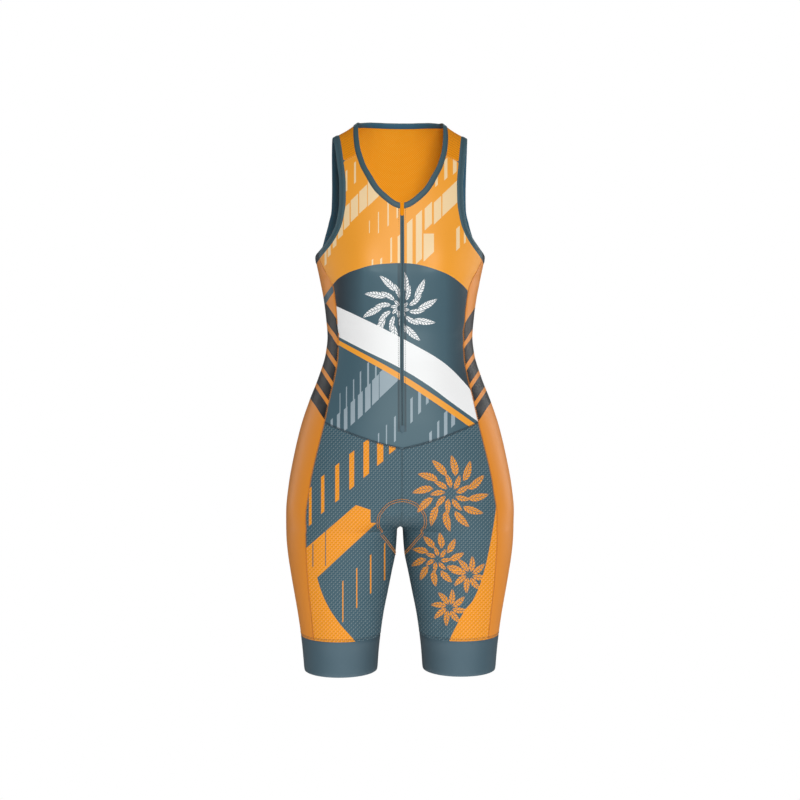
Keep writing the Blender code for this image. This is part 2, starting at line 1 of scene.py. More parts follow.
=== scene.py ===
# %% [markdown]
# # A cycling speed suit: cloth, thread and print
# The suit is a sleeveless vest top sewn to thigh-length shorts. It is shown filled out, as on a body,
# and empty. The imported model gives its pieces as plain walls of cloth. This lesson dresses them: it
# lays a finer and thinner cloth on the same form, prints it, binds its edges and sews it together.

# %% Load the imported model
import math
import types

import bpy
import numpy as np
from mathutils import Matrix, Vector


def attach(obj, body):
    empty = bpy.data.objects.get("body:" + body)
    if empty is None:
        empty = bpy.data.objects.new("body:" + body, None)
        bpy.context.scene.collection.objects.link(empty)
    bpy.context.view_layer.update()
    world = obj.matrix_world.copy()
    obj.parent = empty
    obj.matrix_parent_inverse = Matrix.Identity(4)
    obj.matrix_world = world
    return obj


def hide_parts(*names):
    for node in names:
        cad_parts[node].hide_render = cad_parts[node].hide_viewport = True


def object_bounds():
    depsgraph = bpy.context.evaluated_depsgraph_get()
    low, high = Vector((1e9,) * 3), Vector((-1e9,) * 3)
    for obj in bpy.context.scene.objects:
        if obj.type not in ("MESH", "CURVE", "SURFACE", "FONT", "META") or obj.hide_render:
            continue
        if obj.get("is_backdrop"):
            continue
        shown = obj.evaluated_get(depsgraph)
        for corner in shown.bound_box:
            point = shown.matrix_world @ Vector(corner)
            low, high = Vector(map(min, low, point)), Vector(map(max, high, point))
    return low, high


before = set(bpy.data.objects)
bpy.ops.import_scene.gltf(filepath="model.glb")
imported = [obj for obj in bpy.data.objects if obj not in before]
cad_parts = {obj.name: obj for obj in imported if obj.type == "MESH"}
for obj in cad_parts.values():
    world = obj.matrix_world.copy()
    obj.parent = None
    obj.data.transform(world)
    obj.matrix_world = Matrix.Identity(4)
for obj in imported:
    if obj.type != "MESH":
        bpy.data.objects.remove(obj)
MM = 0.001
cad_low, cad_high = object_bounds()
print("nodes:", len(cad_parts), "height:", round(cad_high.z - cad_low.z, 3), "m")

# %% [markdown]
# ## The camera and the studio
# The suit is seen from the height of its middle, square on but for two degrees, by a normal lens. One
# lamp could light it all, but stretch knit shows its form by thin bright edges. So one broad light
# stands in front, and two narrow ones and a soft one stand beside and behind.

# %% Camera
VIEW_DISTANCE = 1.8889
VIEW_HEIGHT = -0.459
VIEW_TURN = math.radians(-2)


def make_camera():
    lens = bpy.data.cameras.new("camera")
    lens.lens = 50
    lens.sensor_width = 36
    camera = bpy.data.objects.new("camera", lens)
    bpy.context.scene.collection.objects.link(camera)
    camera.location = (
        VIEW_DISTANCE * math.sin(VIEW_TURN), -VIEW_DISTANCE * math.cos(VIEW_TURN), VIEW_HEIGHT
    )
    camera.rotation_euler = (math.pi / 2, 0, VIEW_TURN)
    bpy.context.scene.camera = camera
    return camera


camera = make_camera()
print("camera at", [round(v, 3) for v in camera.location])

# %% Lights
STUDIO_LIGHTS = (
    ("front_light", (0.3, -3.0, 0.25), -0.45, (1.0, 1.0), 67),
    ("left_light", (-1.7, 0.7, -0.1), -0.45, (0.3, 1.8), 8),
    ("right_light", (1.7, 0.7, -0.1), -0.45, (0.3, 1.8), 13),
    ("back_light", (0.2, 2.6, 0.8), -0.35, (1.6, 1.6), 22),
)


def area_light(name, place, aim_height, size, power):
    """A soft rectangular light that looks at a height on the suit's middle line."""
    lamp = bpy.data.lights.new(name, "AREA")
    lamp.shape = "RECTANGLE"
    lamp.size, lamp.size_y = size
    lamp.energy = power
    light = bpy.data.objects.new(name, lamp)
    bpy.context.scene.collection.objects.link(light)
    light.location = place
    way = np.array([0, 0, aim_height]) - place
    tilt = math.acos(-way[2] / np.linalg.norm(way))
    light.rotation_euler = (tilt, 0, math.atan2(-way[0], way[1]))
    return light


lamps = [area_light(*row) for row in STUDIO_LIGHTS]
print("lights:", [lamp.name for lamp in lamps])

# %% [markdown]
# ## Shader sums as plain sums
# A print is mostly arithmetic: which side of an edge a point lies on. `Wire` wraps one socket, so
# that arithmetic on it adds the Math nodes. `Finish` owns a material and makes every other node.
# Painted images would do the same, but sums stay sharp at any distance and can be changed by a number.

# %% Wires
def overloaded(operation, swapped=False):
    """The method for one operator: it adds a Math node. Swapped is its reflected form."""

    def method(self, other):
        first, second = (other, self) if swapped else (self, other)
        return self.finish.node("ShaderNodeMath", {"operation": operation}, {0: first, 1: second})

    return method


class Wire:
    """One output socket that sums like a number."""

    __add__ = __radd__ = overloaded("ADD")
    __mul__ = __rmul__ = overloaded("MULTIPLY")
    __or__ = __ror__ = overloaded("MAXIMUM")
    __sub__, __rsub__ = overloaded("SUBTRACT"), overloaded("SUBTRACT", True)
    __truediv__, __rtruediv__ = overloaded("DIVIDE"), overloaded("DIVIDE", True)
    __pow__, __rpow__ = overloaded("POWER"), overloaded("POWER", True)
    __mod__, __rmod__ = overloaded("FLOORED_MODULO"), overloaded("FLOORED_MODULO", True)
    __gt__, __lt__ = overloaded("GREATER_THAN"), overloaded("LESS_THAN")

    def __init__(self, finish, socket):
        self.finish, self.socket = finish, socket

    def by(self, operation, *values):
        """Any other Math node, with this value first."""
        return self.finish.node("ShaderNodeMath", {"operation": operation}, dict(enumerate((self, *values))))

    def __abs__(self):
        return self.by("ABSOLUTE")

    def near(self, middle, reach):
        return self.by("COMPARE", middle, reach)

    def held(self, low, high):
        return self.by("MAXIMUM", low).by("MINIMUM", high)

    def curve(self, places, heights):
        """The height of a smooth curve through some places, at this place."""
        left, right, low, high = min(places), max(places), min(heights), max(heights)
        spots = [((p - left) / (right - left), (h - low) / (high - low)) for p, h in zip(places, heights)]
        share = (self - left) / (right - left)
        risen = self.finish.node("ShaderNodeFloatCurve", {"points": spots}, {"Value": share})
        return risen * (high - low) + low


class Finish:
    """A material with a Principled shader, and the one way in which its nodes are made."""

    def __init__(self, name, roughness, **sockets):
        self.material = bpy.data.materials.new(name)
        self.material.use_nodes = True
        self.tree = self.material.node_tree
        self.shader = self.tree.nodes["Principled BSDF"]
        self.set("Roughness", roughness)
        for socket, value in sockets.items():
            self.set(socket.replace("_", " "), value)

    def node(self, kind, settings, inputs, output=0):
        made = self.tree.nodes.new(kind)
        for key, value in settings.items():
            if key == "points":
                self.bend(made.mapping, value)
            else:
                setattr(made, key, value)
        for key, value in inputs.items():
            self.feed(made.inputs[key], value)
        return Wire(self, made.outputs[output])

    def bend(self, mapping, spots):
        points = mapping.curves[0].points
        for spot in spots[1:-1]:
            points.new(*spot)
        points[0].location, points[-1].location = spots[0], spots[-1]
        mapping.update()

    def feed(self, socket, value):
        if isinstance(value, Wire):
            self.tree.links.new(value.socket, socket)
        else:
            socket.default_value = value[:3] if socket.type == "VECTOR" else value

    def set(self, socket, value):
        self.feed(self.shader.inputs[socket], value)

    def place(self, name):
        """The two coordinates, in millimetres, of one of the cloth's maps."""
        spot = self.node("ShaderNodeAttribute", {"attribute_name": name}, {}, "Vector")
        split = self.node("ShaderNodeSeparateXYZ", {}, {0: spot}, "X")
        return split, Wire(self, split.socket.node.outputs["Y"])

    def paint(self, mask, colour):
        self.colour = self.mix(mask, self.colour, colour)

    def shade(self, light):
        """The colour made darker or lighter by a number near 1."""
        settings = {"operation": "SCALE"}
        self.colour = self.node("ShaderNodeVectorMath", settings, {0: self.colour, 3: light})

    def done(self):
        self.set("Base Color", self.colour)

    def mix(self, share, low, high):
        inputs = {"Factor": share, 6: low, 7: high}
        return self.node("ShaderNodeMix", {"data_type": "RGBA"}, inputs, 2)

    def bump(self, height, strength, distance):
        """Relief of up to this many millimetres, from a height of 0 to 1."""
        inputs = {"Height": height, "Strength": strength, "Distance": distance * MM}
        self.set("Normal", self.node("ShaderNodeBump", {}, inputs))


def tone(*seen):
    """A colour as it is seen, 0 to 255, as the shader's linear numbers (the sRGB curve)."""
    shares = [value / 255 for value in seen]
    return (*(((s + 0.055) / 1.055) ** 2.4 if s > 0.04045 else s / 12.92 for s in shares), 1.0)


print("a mid grey in the shader:", round(tone(128, 128, 128)[0], 3))

# %% [markdown]
# ## Floor and air
# The suit stands in the air as if it were worn, and the floor is a sheet of white paper far below.
# White light from all round would fill every shade, so the air is white for the camera
# alone, and the cloth gets only a little light from it.

# %% Floor and air
FLOOR = -1.62
FLOOR_HALF = 1.1
PAPER = (0.9, 0.9, 0.9, 1)
PAPER_GLOW = 0.75
AIR_LIGHT = 0.12


class Air(Finish):
    """The world's shader, whose nodes are made like a material's."""

    def __init__(self):
        world = bpy.data.worlds.new("studio")
        bpy.context.scene.world = world
        world.use_nodes = True
        self.tree = world.node_tree
        self.shader = self.tree.nodes["Background"]


def make_air():
    air = Air()
    seen = air.node("ShaderNodeLightPath", {}, {}, "Is Camera Ray")
    air.set("Color", (1, 1, 1, 1))
    air.set("Strength", seen * (1 - AIR_LIGHT) + AIR_LIGHT)


def make_floor():
    mesh = bpy.data.meshes.new("floor")
    corners = [(x * FLOOR_HALF, y * FLOOR_HALF, FLOOR) for x, y in ((-1, -1), (1, -1), (1, 1), (-1, 1))]
    mesh.from_pydata(corners, [], [(0, 1, 2, 3)])
    floor = bpy.data.objects.new("floor", mesh)
    bpy.context.scene.collection.objects.link(floor)
    glow = {"Emission_Color": (1, 1, 1, 1), "Emission_Strength": PAPER_GLOW}
    mesh.materials.append(Finish("floor_paper", 0.9, Base_Color=PAPER, **glow).material)
    floor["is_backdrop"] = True


make_air()
make_floor()
bpy.context.scene.view_settings.view_transform = "Standard"
print("floor at", FLOOR, "m")

# %% [markdown]
# ## One smooth form
# Stretch cloth takes the shape of what fills it, so every piece lies on one smooth form: level rings
# with a rounded, slightly square outline, which split into two legs below the crotch and roll over
# the shoulders above the chest. A place on it is a pair, around and up. Around is 0 at the front
# centre, 90 at the side and 180 at the back. Up is the height as far as the chest line, and above it
# the length walked over the shoulder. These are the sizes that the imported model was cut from.

# %% Sizes of the form, in millimetres and degrees
CHEST = -250.0
CROTCH = -673.0
CROTCH_BLEND = 46.0
CROTCH_ROUND = 6.0
FOLD_RISE = 5.0
FOLD_ANGLE = 5.0
FOLD_REACH = 40.0
LEG_LEAD = 34.0
SHOULDER_ROLL = 280.0
SHOULDER_REACH = 143.0


def table(columns, *rows):
    return dict(zip(columns.split(), np.array(rows, float).T))


BODY = table(
    "height half_width front back squareness",
    (-150, 146.0, 94, 101, 2.40),
    (-218, 143.0, 99, 101, 2.35),
    (-250, 137.0, 101, 100, 2.30),
    (-285, 130.0, 97, 96, 2.25),
    (-320, 125.5, 90, 90, 2.20),
    (-352, 123.0, 85, 86, 2.20),
    (-380, 126.0, 85, 87, 2.20),
    (-420, 138.0, 90, 93, 2.20),
    (-460, 153.5, 97, 102, 2.25),
    (-500, 167.0, 102, 112, 2.30),
    (-550, 179.0, 103, 121, 2.45),
    (-600, 188.0, 101, 123, 2.75),
    (-640, 192.0, 99, 118, 3.05),
    (-673, 193.0, 98, 112, 3.20),
)
LEG = table(
    "height outer inner front back squareness",
    (-673, 193.0, 4.6, 98, 112, 2.25),
    (-690, 192.5, 5.4, 96, 108, 2.20),
    (-717, 190.0, 7.5, 93, 101, 2.15),
    (-750, 185.0, 14.0, 88, 93, 2.10),
    (-785, 179.0, 21.0, 82, 87, 2.10),
    (-820, 173.0, 28.0, 76, 80, 2.05),
    (-854, 168.0, 33.0, 71, 74, 2.05),
    (-880, 165.0, 36.0, 68, 71, 2.05),
    (-914, 162.0, 38.5, 66, 68, 2.05),
)
RIDGE = table(
    "across height",
    (0, 66.0),
    (25, 57.0),
    (45, 38.0),
    (60, 19.5),
    (72, 9.0),
    (90, -3.8),
    (112, -15.6),
    (145, -33.0),
)
BUST = {"out": 13.0, "across": 62.0, "height": -238.0, "wide": 44.0, "above": 62.0, "below": 46.0}
SEAT = {"out": 11.0, "across": 82.0, "height": -612.0, "wide": 56.0, "above": 62.0, "below": 62.0}
print("rings:", len(BODY["height"]), "leg rings:", len(LEG["height"]))

# %% A smooth curve through a table's rows
def smooth(xs, ys, x):
    """A curve through the points that never overshoots them (monotone cubic)."""
    order = np.argsort(xs)
    xs, ys = np.asarray(xs)[order], np.asarray(ys)[order]
    step = np.diff(xs)
    slope = np.diff(ys) / step
    first, last = 2 * step[1:] + step[:-1], step[1:] + 2 * step[:-1]
    turning = slope[:-1] * slope[1:] <= 0
    safe = np.where(slope == 0, 1.0, slope)
    steady = np.where(turning, 1.0, first / safe[:-1] + last / safe[1:])
    middle = np.where(turning, 0.0, (first + last) / steady)
    tangent = np.concatenate([slope[:1], middle, slope[-1:]])
    x = np.clip(x, xs[0], xs[-1])
    i = np.clip(np.searchsorted(xs, x) - 1, 0, len(xs) - 2)
    t = (x - xs[i]) / step[i]
    rise = ys[i] * (1 + 2 * t) * (1 - t) ** 2 + ys[i + 1] * t * t * (3 - 2 * t)
    return rise + step[i] * (tangent[i] * t * (1 - t) ** 2 + tangent[i + 1] * t * t * (t - 1))


def at(rows, column, by, value):
    return smooth(rows[by], rows[column], value)


print("half width at the waist:", round(float(at(BODY, "half_width", "height", -352.0)), 1), "mm")

# %% Rings below the chest
def squared(angle, power):
    """Sine and cosine pushed out from a circle towards a rounded square."""
    s, c = np.sin(angle), np.cos(angle)
    scale = (np.abs(s) ** power + np.abs(c) ** power) ** (-1 / power)
    return scale * s, scale * c


def mound(shape, x, z):
    tall = np.where(z > shape["height"], shape["above"], shape["below"])
    far = ((x - shape["across"]) / shape["wide"]) ** 2 + ((z - shape["height"]) / tall) ** 2
    return shape["out"] * np.exp(-far)


def with_mounds(x, y, z, behind):
    return np.where(behind, y + mound(SEAT, x, z), y - mound(BUST, x, z))


def hip_ring(angle, z):
    keys = ("half_width", "front", "back", "squareness")
    width, front, back, power = (at(BODY, key, "height", z) for key in keys)
    s, c = squared(angle, power)
    return width * s, np.where(c > 0, -front * c, -back * c)


def leg_ring(angle, z):
    keys = ("outer", "inner", "front", "back", "squareness")
    outer, inner, front, back, power = (at(LEG, key, "height", z) for key in keys)
    opened = np.clip((CROTCH - z) / CROTCH_ROUND, 0, 1)
    inner = inner * np.sqrt(np.clip(1 - (1 - opened) ** 2, 0, 1))
    s, c = squared(2 * angle + math.radians(LEG_LEAD) * np.sin(2 * angle), power)
    return (outer + inner) / 2 - (outer - inner) / 2 * c, (back - front) / 2 - (back + front) / 2 * s


def below_chest(angle, z):
    """The hip rings, drawn in to the centre seam above the crotch and split into legs below it."""
    above = z - CROTCH
    share = np.clip(above / CROTCH_BLEND, 0, 1)
    at_centre = 1 - np.sqrt(np.clip(1 - (1 - share) ** 2, 0, 1))
    at_side = (1 - share) ** 2 * (1 + 2 * share)
    fold_angle = math.radians(FOLD_ANGLE) * np.clip(np.sqrt(np.clip(above, 0, None) / FOLD_RISE), 0, 1)
    off = np.minimum(angle, math.pi - angle)
    rounded = off**2 / (off + fold_angle + 1e-12)
    near = np.clip(1 - off / math.radians(FOLD_REACH), 0, 1)
    near = near * near * (3 - 2 * near)
    pinch = near * at_centre + (1 - near) * at_side
    off = off + (rounded - off) * near
    bent = np.where(angle <= math.pi / 2, off, math.pi - off)
    crotch_level = np.minimum(z, CROTCH)
    hip_x = hip_ring(angle, z)[0]
    hip_y = hip_ring(bent, z)[1]
    leg_x = leg_ring(angle, crotch_level)[0]
    leg_y = leg_ring(np.where(above <= 0, angle, bent), crotch_level)[1]
    x = np.where(above <= 0, leg_x, (1 - pinch) * hip_x + pinch * leg_x)
    y = np.where(above <= 0, leg_y, (1 - pinch) * hip_y + pinch * leg_y)
    return x, with_mounds(x, y, z, np.cos(angle) < 0), z


print("widest ring:", round(float(below_chest(np.array([math.pi / 2]), np.array([-660.0]))[0][0]), 1), "mm")

# %% Over the shoulder, and the whole form
def above_chest(angle, z_up):
    """From the chest line over the shoulder ridge, where front and back meet."""
    behind = np.cos(angle) < 0
    toward_side = np.where(behind, math.pi - angle, angle)
    front, back, power = (at(BODY, key, "height", CHEST) for key in ("front", "back", "squareness"))
    s, c = squared(toward_side, power)
    climb = (z_up - CHEST) / SHOULDER_ROLL
    top = at(RIDGE, "height", "across", s * SHOULDER_REACH)
    z = CHEST + (top - CHEST) * np.sin(climb)
    x = at(BODY, "half_width", "height", z) * s
    y = np.where(behind, back, -front) * c * np.cos(climb)
    return x, with_mounds(x, y, z, behind), z


def form(places):
    """Points of the right half for an array of (around, up) places."""
    angle, up = np.radians(places[..., 0]), places[..., 1]
    low = below_chest(angle, np.minimum(up, CHEST))
    high = above_chest(angle, np.maximum(up, CHEST))
    return np.stack([np.where(up <= CHEST, a, b) for a, b in zip(low, high)], -1)


def unit(vectors):
    return vectors / np.maximum(np.linalg.norm(vectors, axis=-1, keepdims=True), 1e-12)


NUDGE = 0.02
CENTRE_STEP = 0.5
ON_CENTRE = 1e-6


def outward(places):
    """Unit normals. On the centre line above the crotch they lie in the plane of symmetry."""
    around, up = places[..., 0], places[..., 1]
    left, right = np.maximum(around - NUDGE, 0), np.minimum(around + NUDGE, 180)
    along = form(np.stack([right, up], -1)) - form(np.stack([left, up], -1))
    rising = form(places + [0, NUDGE]) - form(places - [0, NUDGE])
    normal = unit(np.cross(along, rising))
    centre = (np.abs(np.sin(np.radians(around))) < ON_CENTRE) & (up >= CROTCH - ON_CENTRE)
    below = np.stack([around, np.maximum(up - CENTRE_STEP, CROTCH)], -1)
    step = form(places + [0, CENTRE_STEP]) - form(below)
    side = np.where(around < 90, 1.0, -1.0)
    flat = unit(np.stack([0 * side, -step[..., 2] * side, step[..., 1] * side], -1))
    return np.where(centre[..., None], flat, normal)


print("front of the chest:", form(np.array([0.0, CHEST])).round(1), "mm")

# %% [markdown]
# ## Seam lines
# A maker cuts every piece to lines that its neighbour shares. Two pieces could each be trimmed from
# the form, but their edges would then never quite meet. So each line is walked once here, and both
# pieces take the same points, and the fine cloth closes at every seam.

# %% Walks over the form
def fold(walk):
    """(around from the centre line, over the shoulder) as an (around, up) place."""
    around, over = walk[..., 0], walk[..., 1]
    behind = over > 90
    climb = np.radians(np.where(behind, 180 - over, over))
    return np.stack([np.where(behind, 180 - around, around), CHEST + SHOULDER_ROLL * climb], -1)


def over_shoulder(walk):
    return form(fold(walk))


HALVINGS = 40


def around_at(across, over):
    """How far around a point at this distance from the centre plane lies."""
    low, high = np.zeros(len(across)), np.full(len(across), 90.0)
    for _ in range(HALVINGS):
        middle = (low + high) / 2
        short = over_shoulder(np.stack([middle, over], -1))[:, 0] < across
        low, high = np.where(short, middle, low), np.where(short, high, middle)
    return (low + high) / 2


def lengths(points):
    return np.concatenate([[0], np.cumsum(np.linalg.norm(np.diff(points, axis=0), axis=1))])


def pick(line, where):
    """Places on a dense line at fractional indices."""
    index = np.arange(len(line))
    return np.stack([np.interp(where, index, line[:, k]) for k in range(line.shape[1])], -1)


def spread(line, shape, marks, counts):
    """Fractional indices that cut each stretch between two marks into equal lengths."""
    run = lengths(shape(line))
    index = np.arange(len(line))
    parts = []
    for start, end, count in zip(marks[:-1], marks[1:], counts):
        ends = np.interp([start, end], index, run)
        parts.append(np.interp(np.linspace(ends[0], ends[1], count + 1), run, index)[:-1])
    return np.concatenate([*parts, [marks[-1]]])


DENSE = 600


def dense(columns, shape):
    """A smooth line through a table's two columns, in many short steps of about equal length."""
    first, second = columns
    run = lengths(shape(np.stack([first, second], -1)))
    t = np.linspace(0, run[-1], DENSE)
    return np.stack([smooth(run, first, t), smooth(run, second, t)], -1)


def crossing(line, column, value, start=0):
    """The first fractional index at or after start where a column of a line passes a value."""
    level = line[:, column] - value
    change = np.nonzero(level[:-1] * level[1:] <= 0)[0]
    i = change[change >= start][0]
    return i + level[i] / (level[i] - level[i + 1])


def beside(line, shape, width, hand):
    """The line moved sideways over the form by a width, to its right (1) or its left (-1)."""
    points = shape(line)
    travel = np.gradient(points, axis=0)
    travel[[0, -1], 2] = 0
    travel = unit(travel)
    first = (shape(line + [NUDGE, 0]) - shape(line - [NUDGE, 0])) / (2 * NUDGE)
    second = (shape(line + [0, NUDGE]) - shape(line - [0, NUDGE])) / (2 * NUDGE)
    normal = unit(np.cross(first, second))
    aim = width * hand * np.cross(travel, normal)
    moved = np.array([
        np.linalg.lstsq(np.stack([a, b], -1), goal, rcond=None)[0]
        for a, b, goal in zip(first, second, aim)
    ])
    moved[[0, -1], 0] = 0
    return line + moved


print("over the shoulder ridge:", over_shoulder(np.array([50.0, 90.0])).round(1), "mm")

# %% Where the seams run
BINDING_WIDTH = 8.2
HEM_SEAM = -855.0
HEM_EDGE = -914.0
ZIP_HALF = 3.25
ZIP_END = -507.0
YOKE_NECK_OVER = 48.6
YOKE_ARM_OVER = 49.3
YOKE_BACK_OVER = 104.0
SIDE_TOP_AROUND = 70.0

WAIST_FRONT = table(
    "around height", (0, -537.5), (10, -530.2), (20.5, -520.6), (33, -508.0), (46.8, -495.5)
)
WAIST_BACK = table("around height", (133.2, -495.5), (150, -494.0), (180, -492.0))
SIDE_SEAM = table(
    "height around",
    (-855, 48.2),
    (-807, 47.9),
    (-755, 47.4),
    (-704, 46.5),
    (-671, 46.2),
    (-617, 46.2),
    (-585, 46.9),
    (-555, 47.2),
    (-523, 46.9),
    (-495.5, 46.8),
    (-440, 49.2),
    (-412, 50.7),
    (-388, 52.6),
    (-362, 54.8),
    (-330, 55.6),
    (-302, 55.2),
    (-280, 55.0),
    (-262, 57.5),
    (-245, 62.0),
)
NECK_EDGE = table(
    "across over",
    (0, 19.9),
    (8, 20.5),
    (20.7, 22.5),
    (37, 26.8),
    (49.7, 33.2),
    (61.3, 41.6),
    (69.8, 54.2),
    (72, 67),
    (72.3, 84),
    (69.5, 93.4),
    (60, 101.6),
    (45, 111.2),
    (25, 117.9),
    (0, 120.5),
)
ARMHOLE_EDGE = table(
    "around over",
    (90, 8.3),
    (67.8, 9.8),
    (52.2, 13.8),
    (44.5, 19.8),
    (41.8, 29.2),
    (41.8, 35.5),
    (44, 50.8),
    (47.5, 75.8),
    (49, 95),
    (49.8, 120),
    (49.8, 135),
    (50.5, 148),
    (53.7, 154.5),
    (58.1, 160),
    (64.5, 166.2),
    (76, 170.7),
    (90, 171.7),
)

# %% [markdown]
# The fine cloth has a point about every three millimetres, close enough for soft creases. Counts on
# the two sides of a piece have to agree: the slit's foot, the zip and the neck together are as many
# rows as the torso and the armhole.

# %% Rows and columns of the fine cloth
TORSO_ROWS = 90
ARMHOLE_ROWS = 72
YOKE_ROWS = 36
FRONT_COLUMNS = 42
SLIT_FOOT_ROWS = 12
ZIP_ROWS = 102
NECK_FRONT_ROWS = 48
NECK_BACK_COLUMNS = 24
BACK_COLUMNS = FRONT_COLUMNS + NECK_BACK_COLUMNS
SIDE_COLUMNS = 48
HIP_ROWS = 72
LEG_ROWS = 60
HEM_ROWS = 20
print("rows up the front:", TORSO_ROWS + ARMHOLE_ROWS, "=", SLIT_FOOT_ROWS + ZIP_ROWS + NECK_FRONT_ROWS)

# %% Neck and armhole lines
SLIT_TURN = 5.0
SLIT_STEPS = 101


def stretches(line, first, second):
    """A line cut into three after so many steps and so many more."""
    return line[: first + 1], line[first : first + second + 1], line[first + second :]


def turn_to(reach, height):
    """How far around the form lies this distance from the centre plane, near the front centre line."""
    turn = np.linspace(0, SLIT_TURN, SLIT_STEPS)
    return np.interp(reach, form(np.stack([turn, np.full(SLIT_STEPS, height)], -1))[:, 0], turn)


def at_slit(line):
    """Where a neck line passes the edge of the zip slit."""
    return crossing(over_shoulder(line), 0, ZIP_HALF)


def neck_seams(seam):
    """The neck's open edge and its seam line, from the zip slit round to the centre back."""
    around = around_at(NECK_EDGE["across"], NECK_EDGE["over"])
    free = dense((around, NECK_EDGE["over"]), over_shoulder)
    line = beside(free, over_shoulder, BINDING_WIDTH, 1)
    yoke_marks = [crossing(line, 1, over) for over in (YOKE_NECK_OVER, YOKE_BACK_OVER)]
    counts = (NECK_FRONT_ROWS, YOKE_ROWS, NECK_BACK_COLUMNS)
    where = spread(line, over_shoulder, [at_slit(line), *yoke_marks, DENSE - 1.0], counts)
    seam.neck_free = pick(free, np.append(at_slit(free), where[1:]))
    seam.neck = pick(line, where)
    seam.neck_front, seam.neck_yoke, seam.neck_back = stretches(seam.neck, *counts[:2])


def armhole_seams(seam):
    """The armhole's open edge and its seam line, as far as the side panel's top corners."""
    free = dense((ARMHOLE_EDGE["around"], ARMHOLE_EDGE["over"]), over_shoulder)
    line = beside(free, over_shoulder, BINDING_WIDTH, -1)
    marks = [
        crossing(line, 0, SIDE_TOP_AROUND),
        crossing(line, 1, YOKE_ARM_OVER),
        crossing(line, 1, YOKE_BACK_OVER),
        crossing(line, 0, SIDE_TOP_AROUND, DENSE / 2),
    ]
    counts = (ARMHOLE_ROWS, YOKE_ROWS, ARMHOLE_ROWS)
    where = spread(line, over_shoulder, marks, counts)
    seam.arm_free, seam.arm = pick(free, where), pick(line, where)
    seam.arm_front, seam.arm_yoke, seam.arm_back = stretches(seam.arm, *counts[:2])
    first, last = int(marks[0]) + 1, int(marks[-1]) + 1
    seam.low_free = np.concatenate([free[last:], free[:first]])
    seam.low = np.concatenate([line[last:], line[:first]])


def yoke_seams(seam):
    across = np.linspace(0, 1, FRONT_COLUMNS + 1)[:, None]
    seam.yoke_front = seam.neck_yoke[0] * (1 - across) + seam.arm_yoke[0] * across
    seam.yoke_back = seam.neck_yoke[-1] * (1 - across) + seam.arm_yoke[-1] * across


# %% Side, waist and zip lines
def side_line(top_place, behind):
    """A side panel's seam from the hem to the armhole."""
    height = np.append(SIDE_SEAM["height"], top_place[1])
    around = np.append(SIDE_SEAM["around"], 180 - top_place[0] if behind else top_place[0])
    up = np.linspace(height[0], height[-1], DENSE)
    turned = smooth(height, around, up)
    line = np.stack([180 - turned if behind else turned, up], -1)
    levels = [crossing(line, 1, level) for level in (CROTCH, WAIST_FRONT["height"][-1])]
    return pick(line, spread(line, form, [0.0, *levels, DENSE - 1.0], (LEG_ROWS, HIP_ROWS, TORSO_ROWS)))


def side_seams(seam):
    seam.side_front = side_line(fold(seam.arm_front[0]), False)
    seam.side_back = side_line(fold(seam.arm_back[-1]), True)
    loop = fold(seam.low[::-1])
    loop[0], loop[-1] = seam.side_front[-1], seam.side_back[-1]
    where = spread(loop, form, [0.0, len(loop) - 1.0], (SIDE_COLUMNS,))
    seam.armpit = pick(loop, where)
    seam.armpit_free = pick(fold(seam.low_free[::-1]), where)


def waist_line(rows, first_stretch, counts):
    around = np.linspace(rows["around"][0], rows["around"][-1], DENSE)
    line = np.stack([around, smooth(rows["around"], rows["height"], around)], -1)
    marks = [0.0, *(crossing(form(line), 0, reach) for reach in first_stretch), DENSE - 1.0]
    return pick(line, spread(line, form, marks, counts))


def waist_seams(seam):
    row = LEG_ROWS + HIP_ROWS
    seam.waist_front = waist_line(WAIST_FRONT, [ZIP_HALF], (1, FRONT_COLUMNS))
    seam.waist_back = waist_line(WAIST_BACK, [], (BACK_COLUMNS,))
    seam.waist_front[-1], seam.waist_back[0] = seam.side_front[row], seam.side_back[row]


def slit_seams(seam):
    """The edge of the zip slit from the waist seam to the neck."""
    top = fold(seam.neck_front[0])
    low = np.linspace(seam.waist_front[1][1], ZIP_END, SLIT_FOOT_ROWS + 1)
    high = np.linspace(ZIP_END, top[1], ZIP_ROWS + 1)
    seam.slit_foot, seam.slit = (
        np.array([(turn_to(ZIP_HALF, level), level) for level in levels]) for levels in (low, high)
    )
    seam.slit_foot[0], seam.slit[-1] = seam.waist_front[1], top


def all_seams():
    seam = types.SimpleNamespace()
    for cut in (neck_seams, armhole_seams, yoke_seams, side_seams, waist_seams, slit_seams):
        cut(seam)
    return seam


seam = all_seams()
print("neck edge:", round(2 * lengths(over_shoulder(seam.neck_free))[-1]), "mm round")

# %% [markdown]
# ## Grids of cloth
# A panel of the suit is cut flat and stretched into place. Here it is a grid of places between its four
# seam lines, which the form turns into points. A grid follows its seams like the knit does, which a
# sculpted or remeshed surface wouldn't, so the print and the stitches have rows to run along.

# %% Grids
def filled(bottom, top, left, right):
    """A grid of places inside four edges (Coons patch): rows run up, columns run around."""
    u = np.linspace(0, 1, len(bottom))[None, :, None]
    v = np.linspace(0, 1, len(left))[:, None, None]
    ruled = (1 - v) * bottom[None] + v * top[None] + (1 - u) * left[:, None] + u * right[:, None]
    corners = (1 - u) * (1 - v) * bottom[0] + u * (1 - v) * bottom[-1]
    return ruled - corners - (1 - u) * v * top[0] - u * v * top[-1]


def mirrored(grid):
    return grid[:, ::-1] * [-1, 1, 1]


def level_line(start, end, count, height):
    return np.stack([np.linspace(start, end, count + 1), np.full(count + 1, height)], -1)


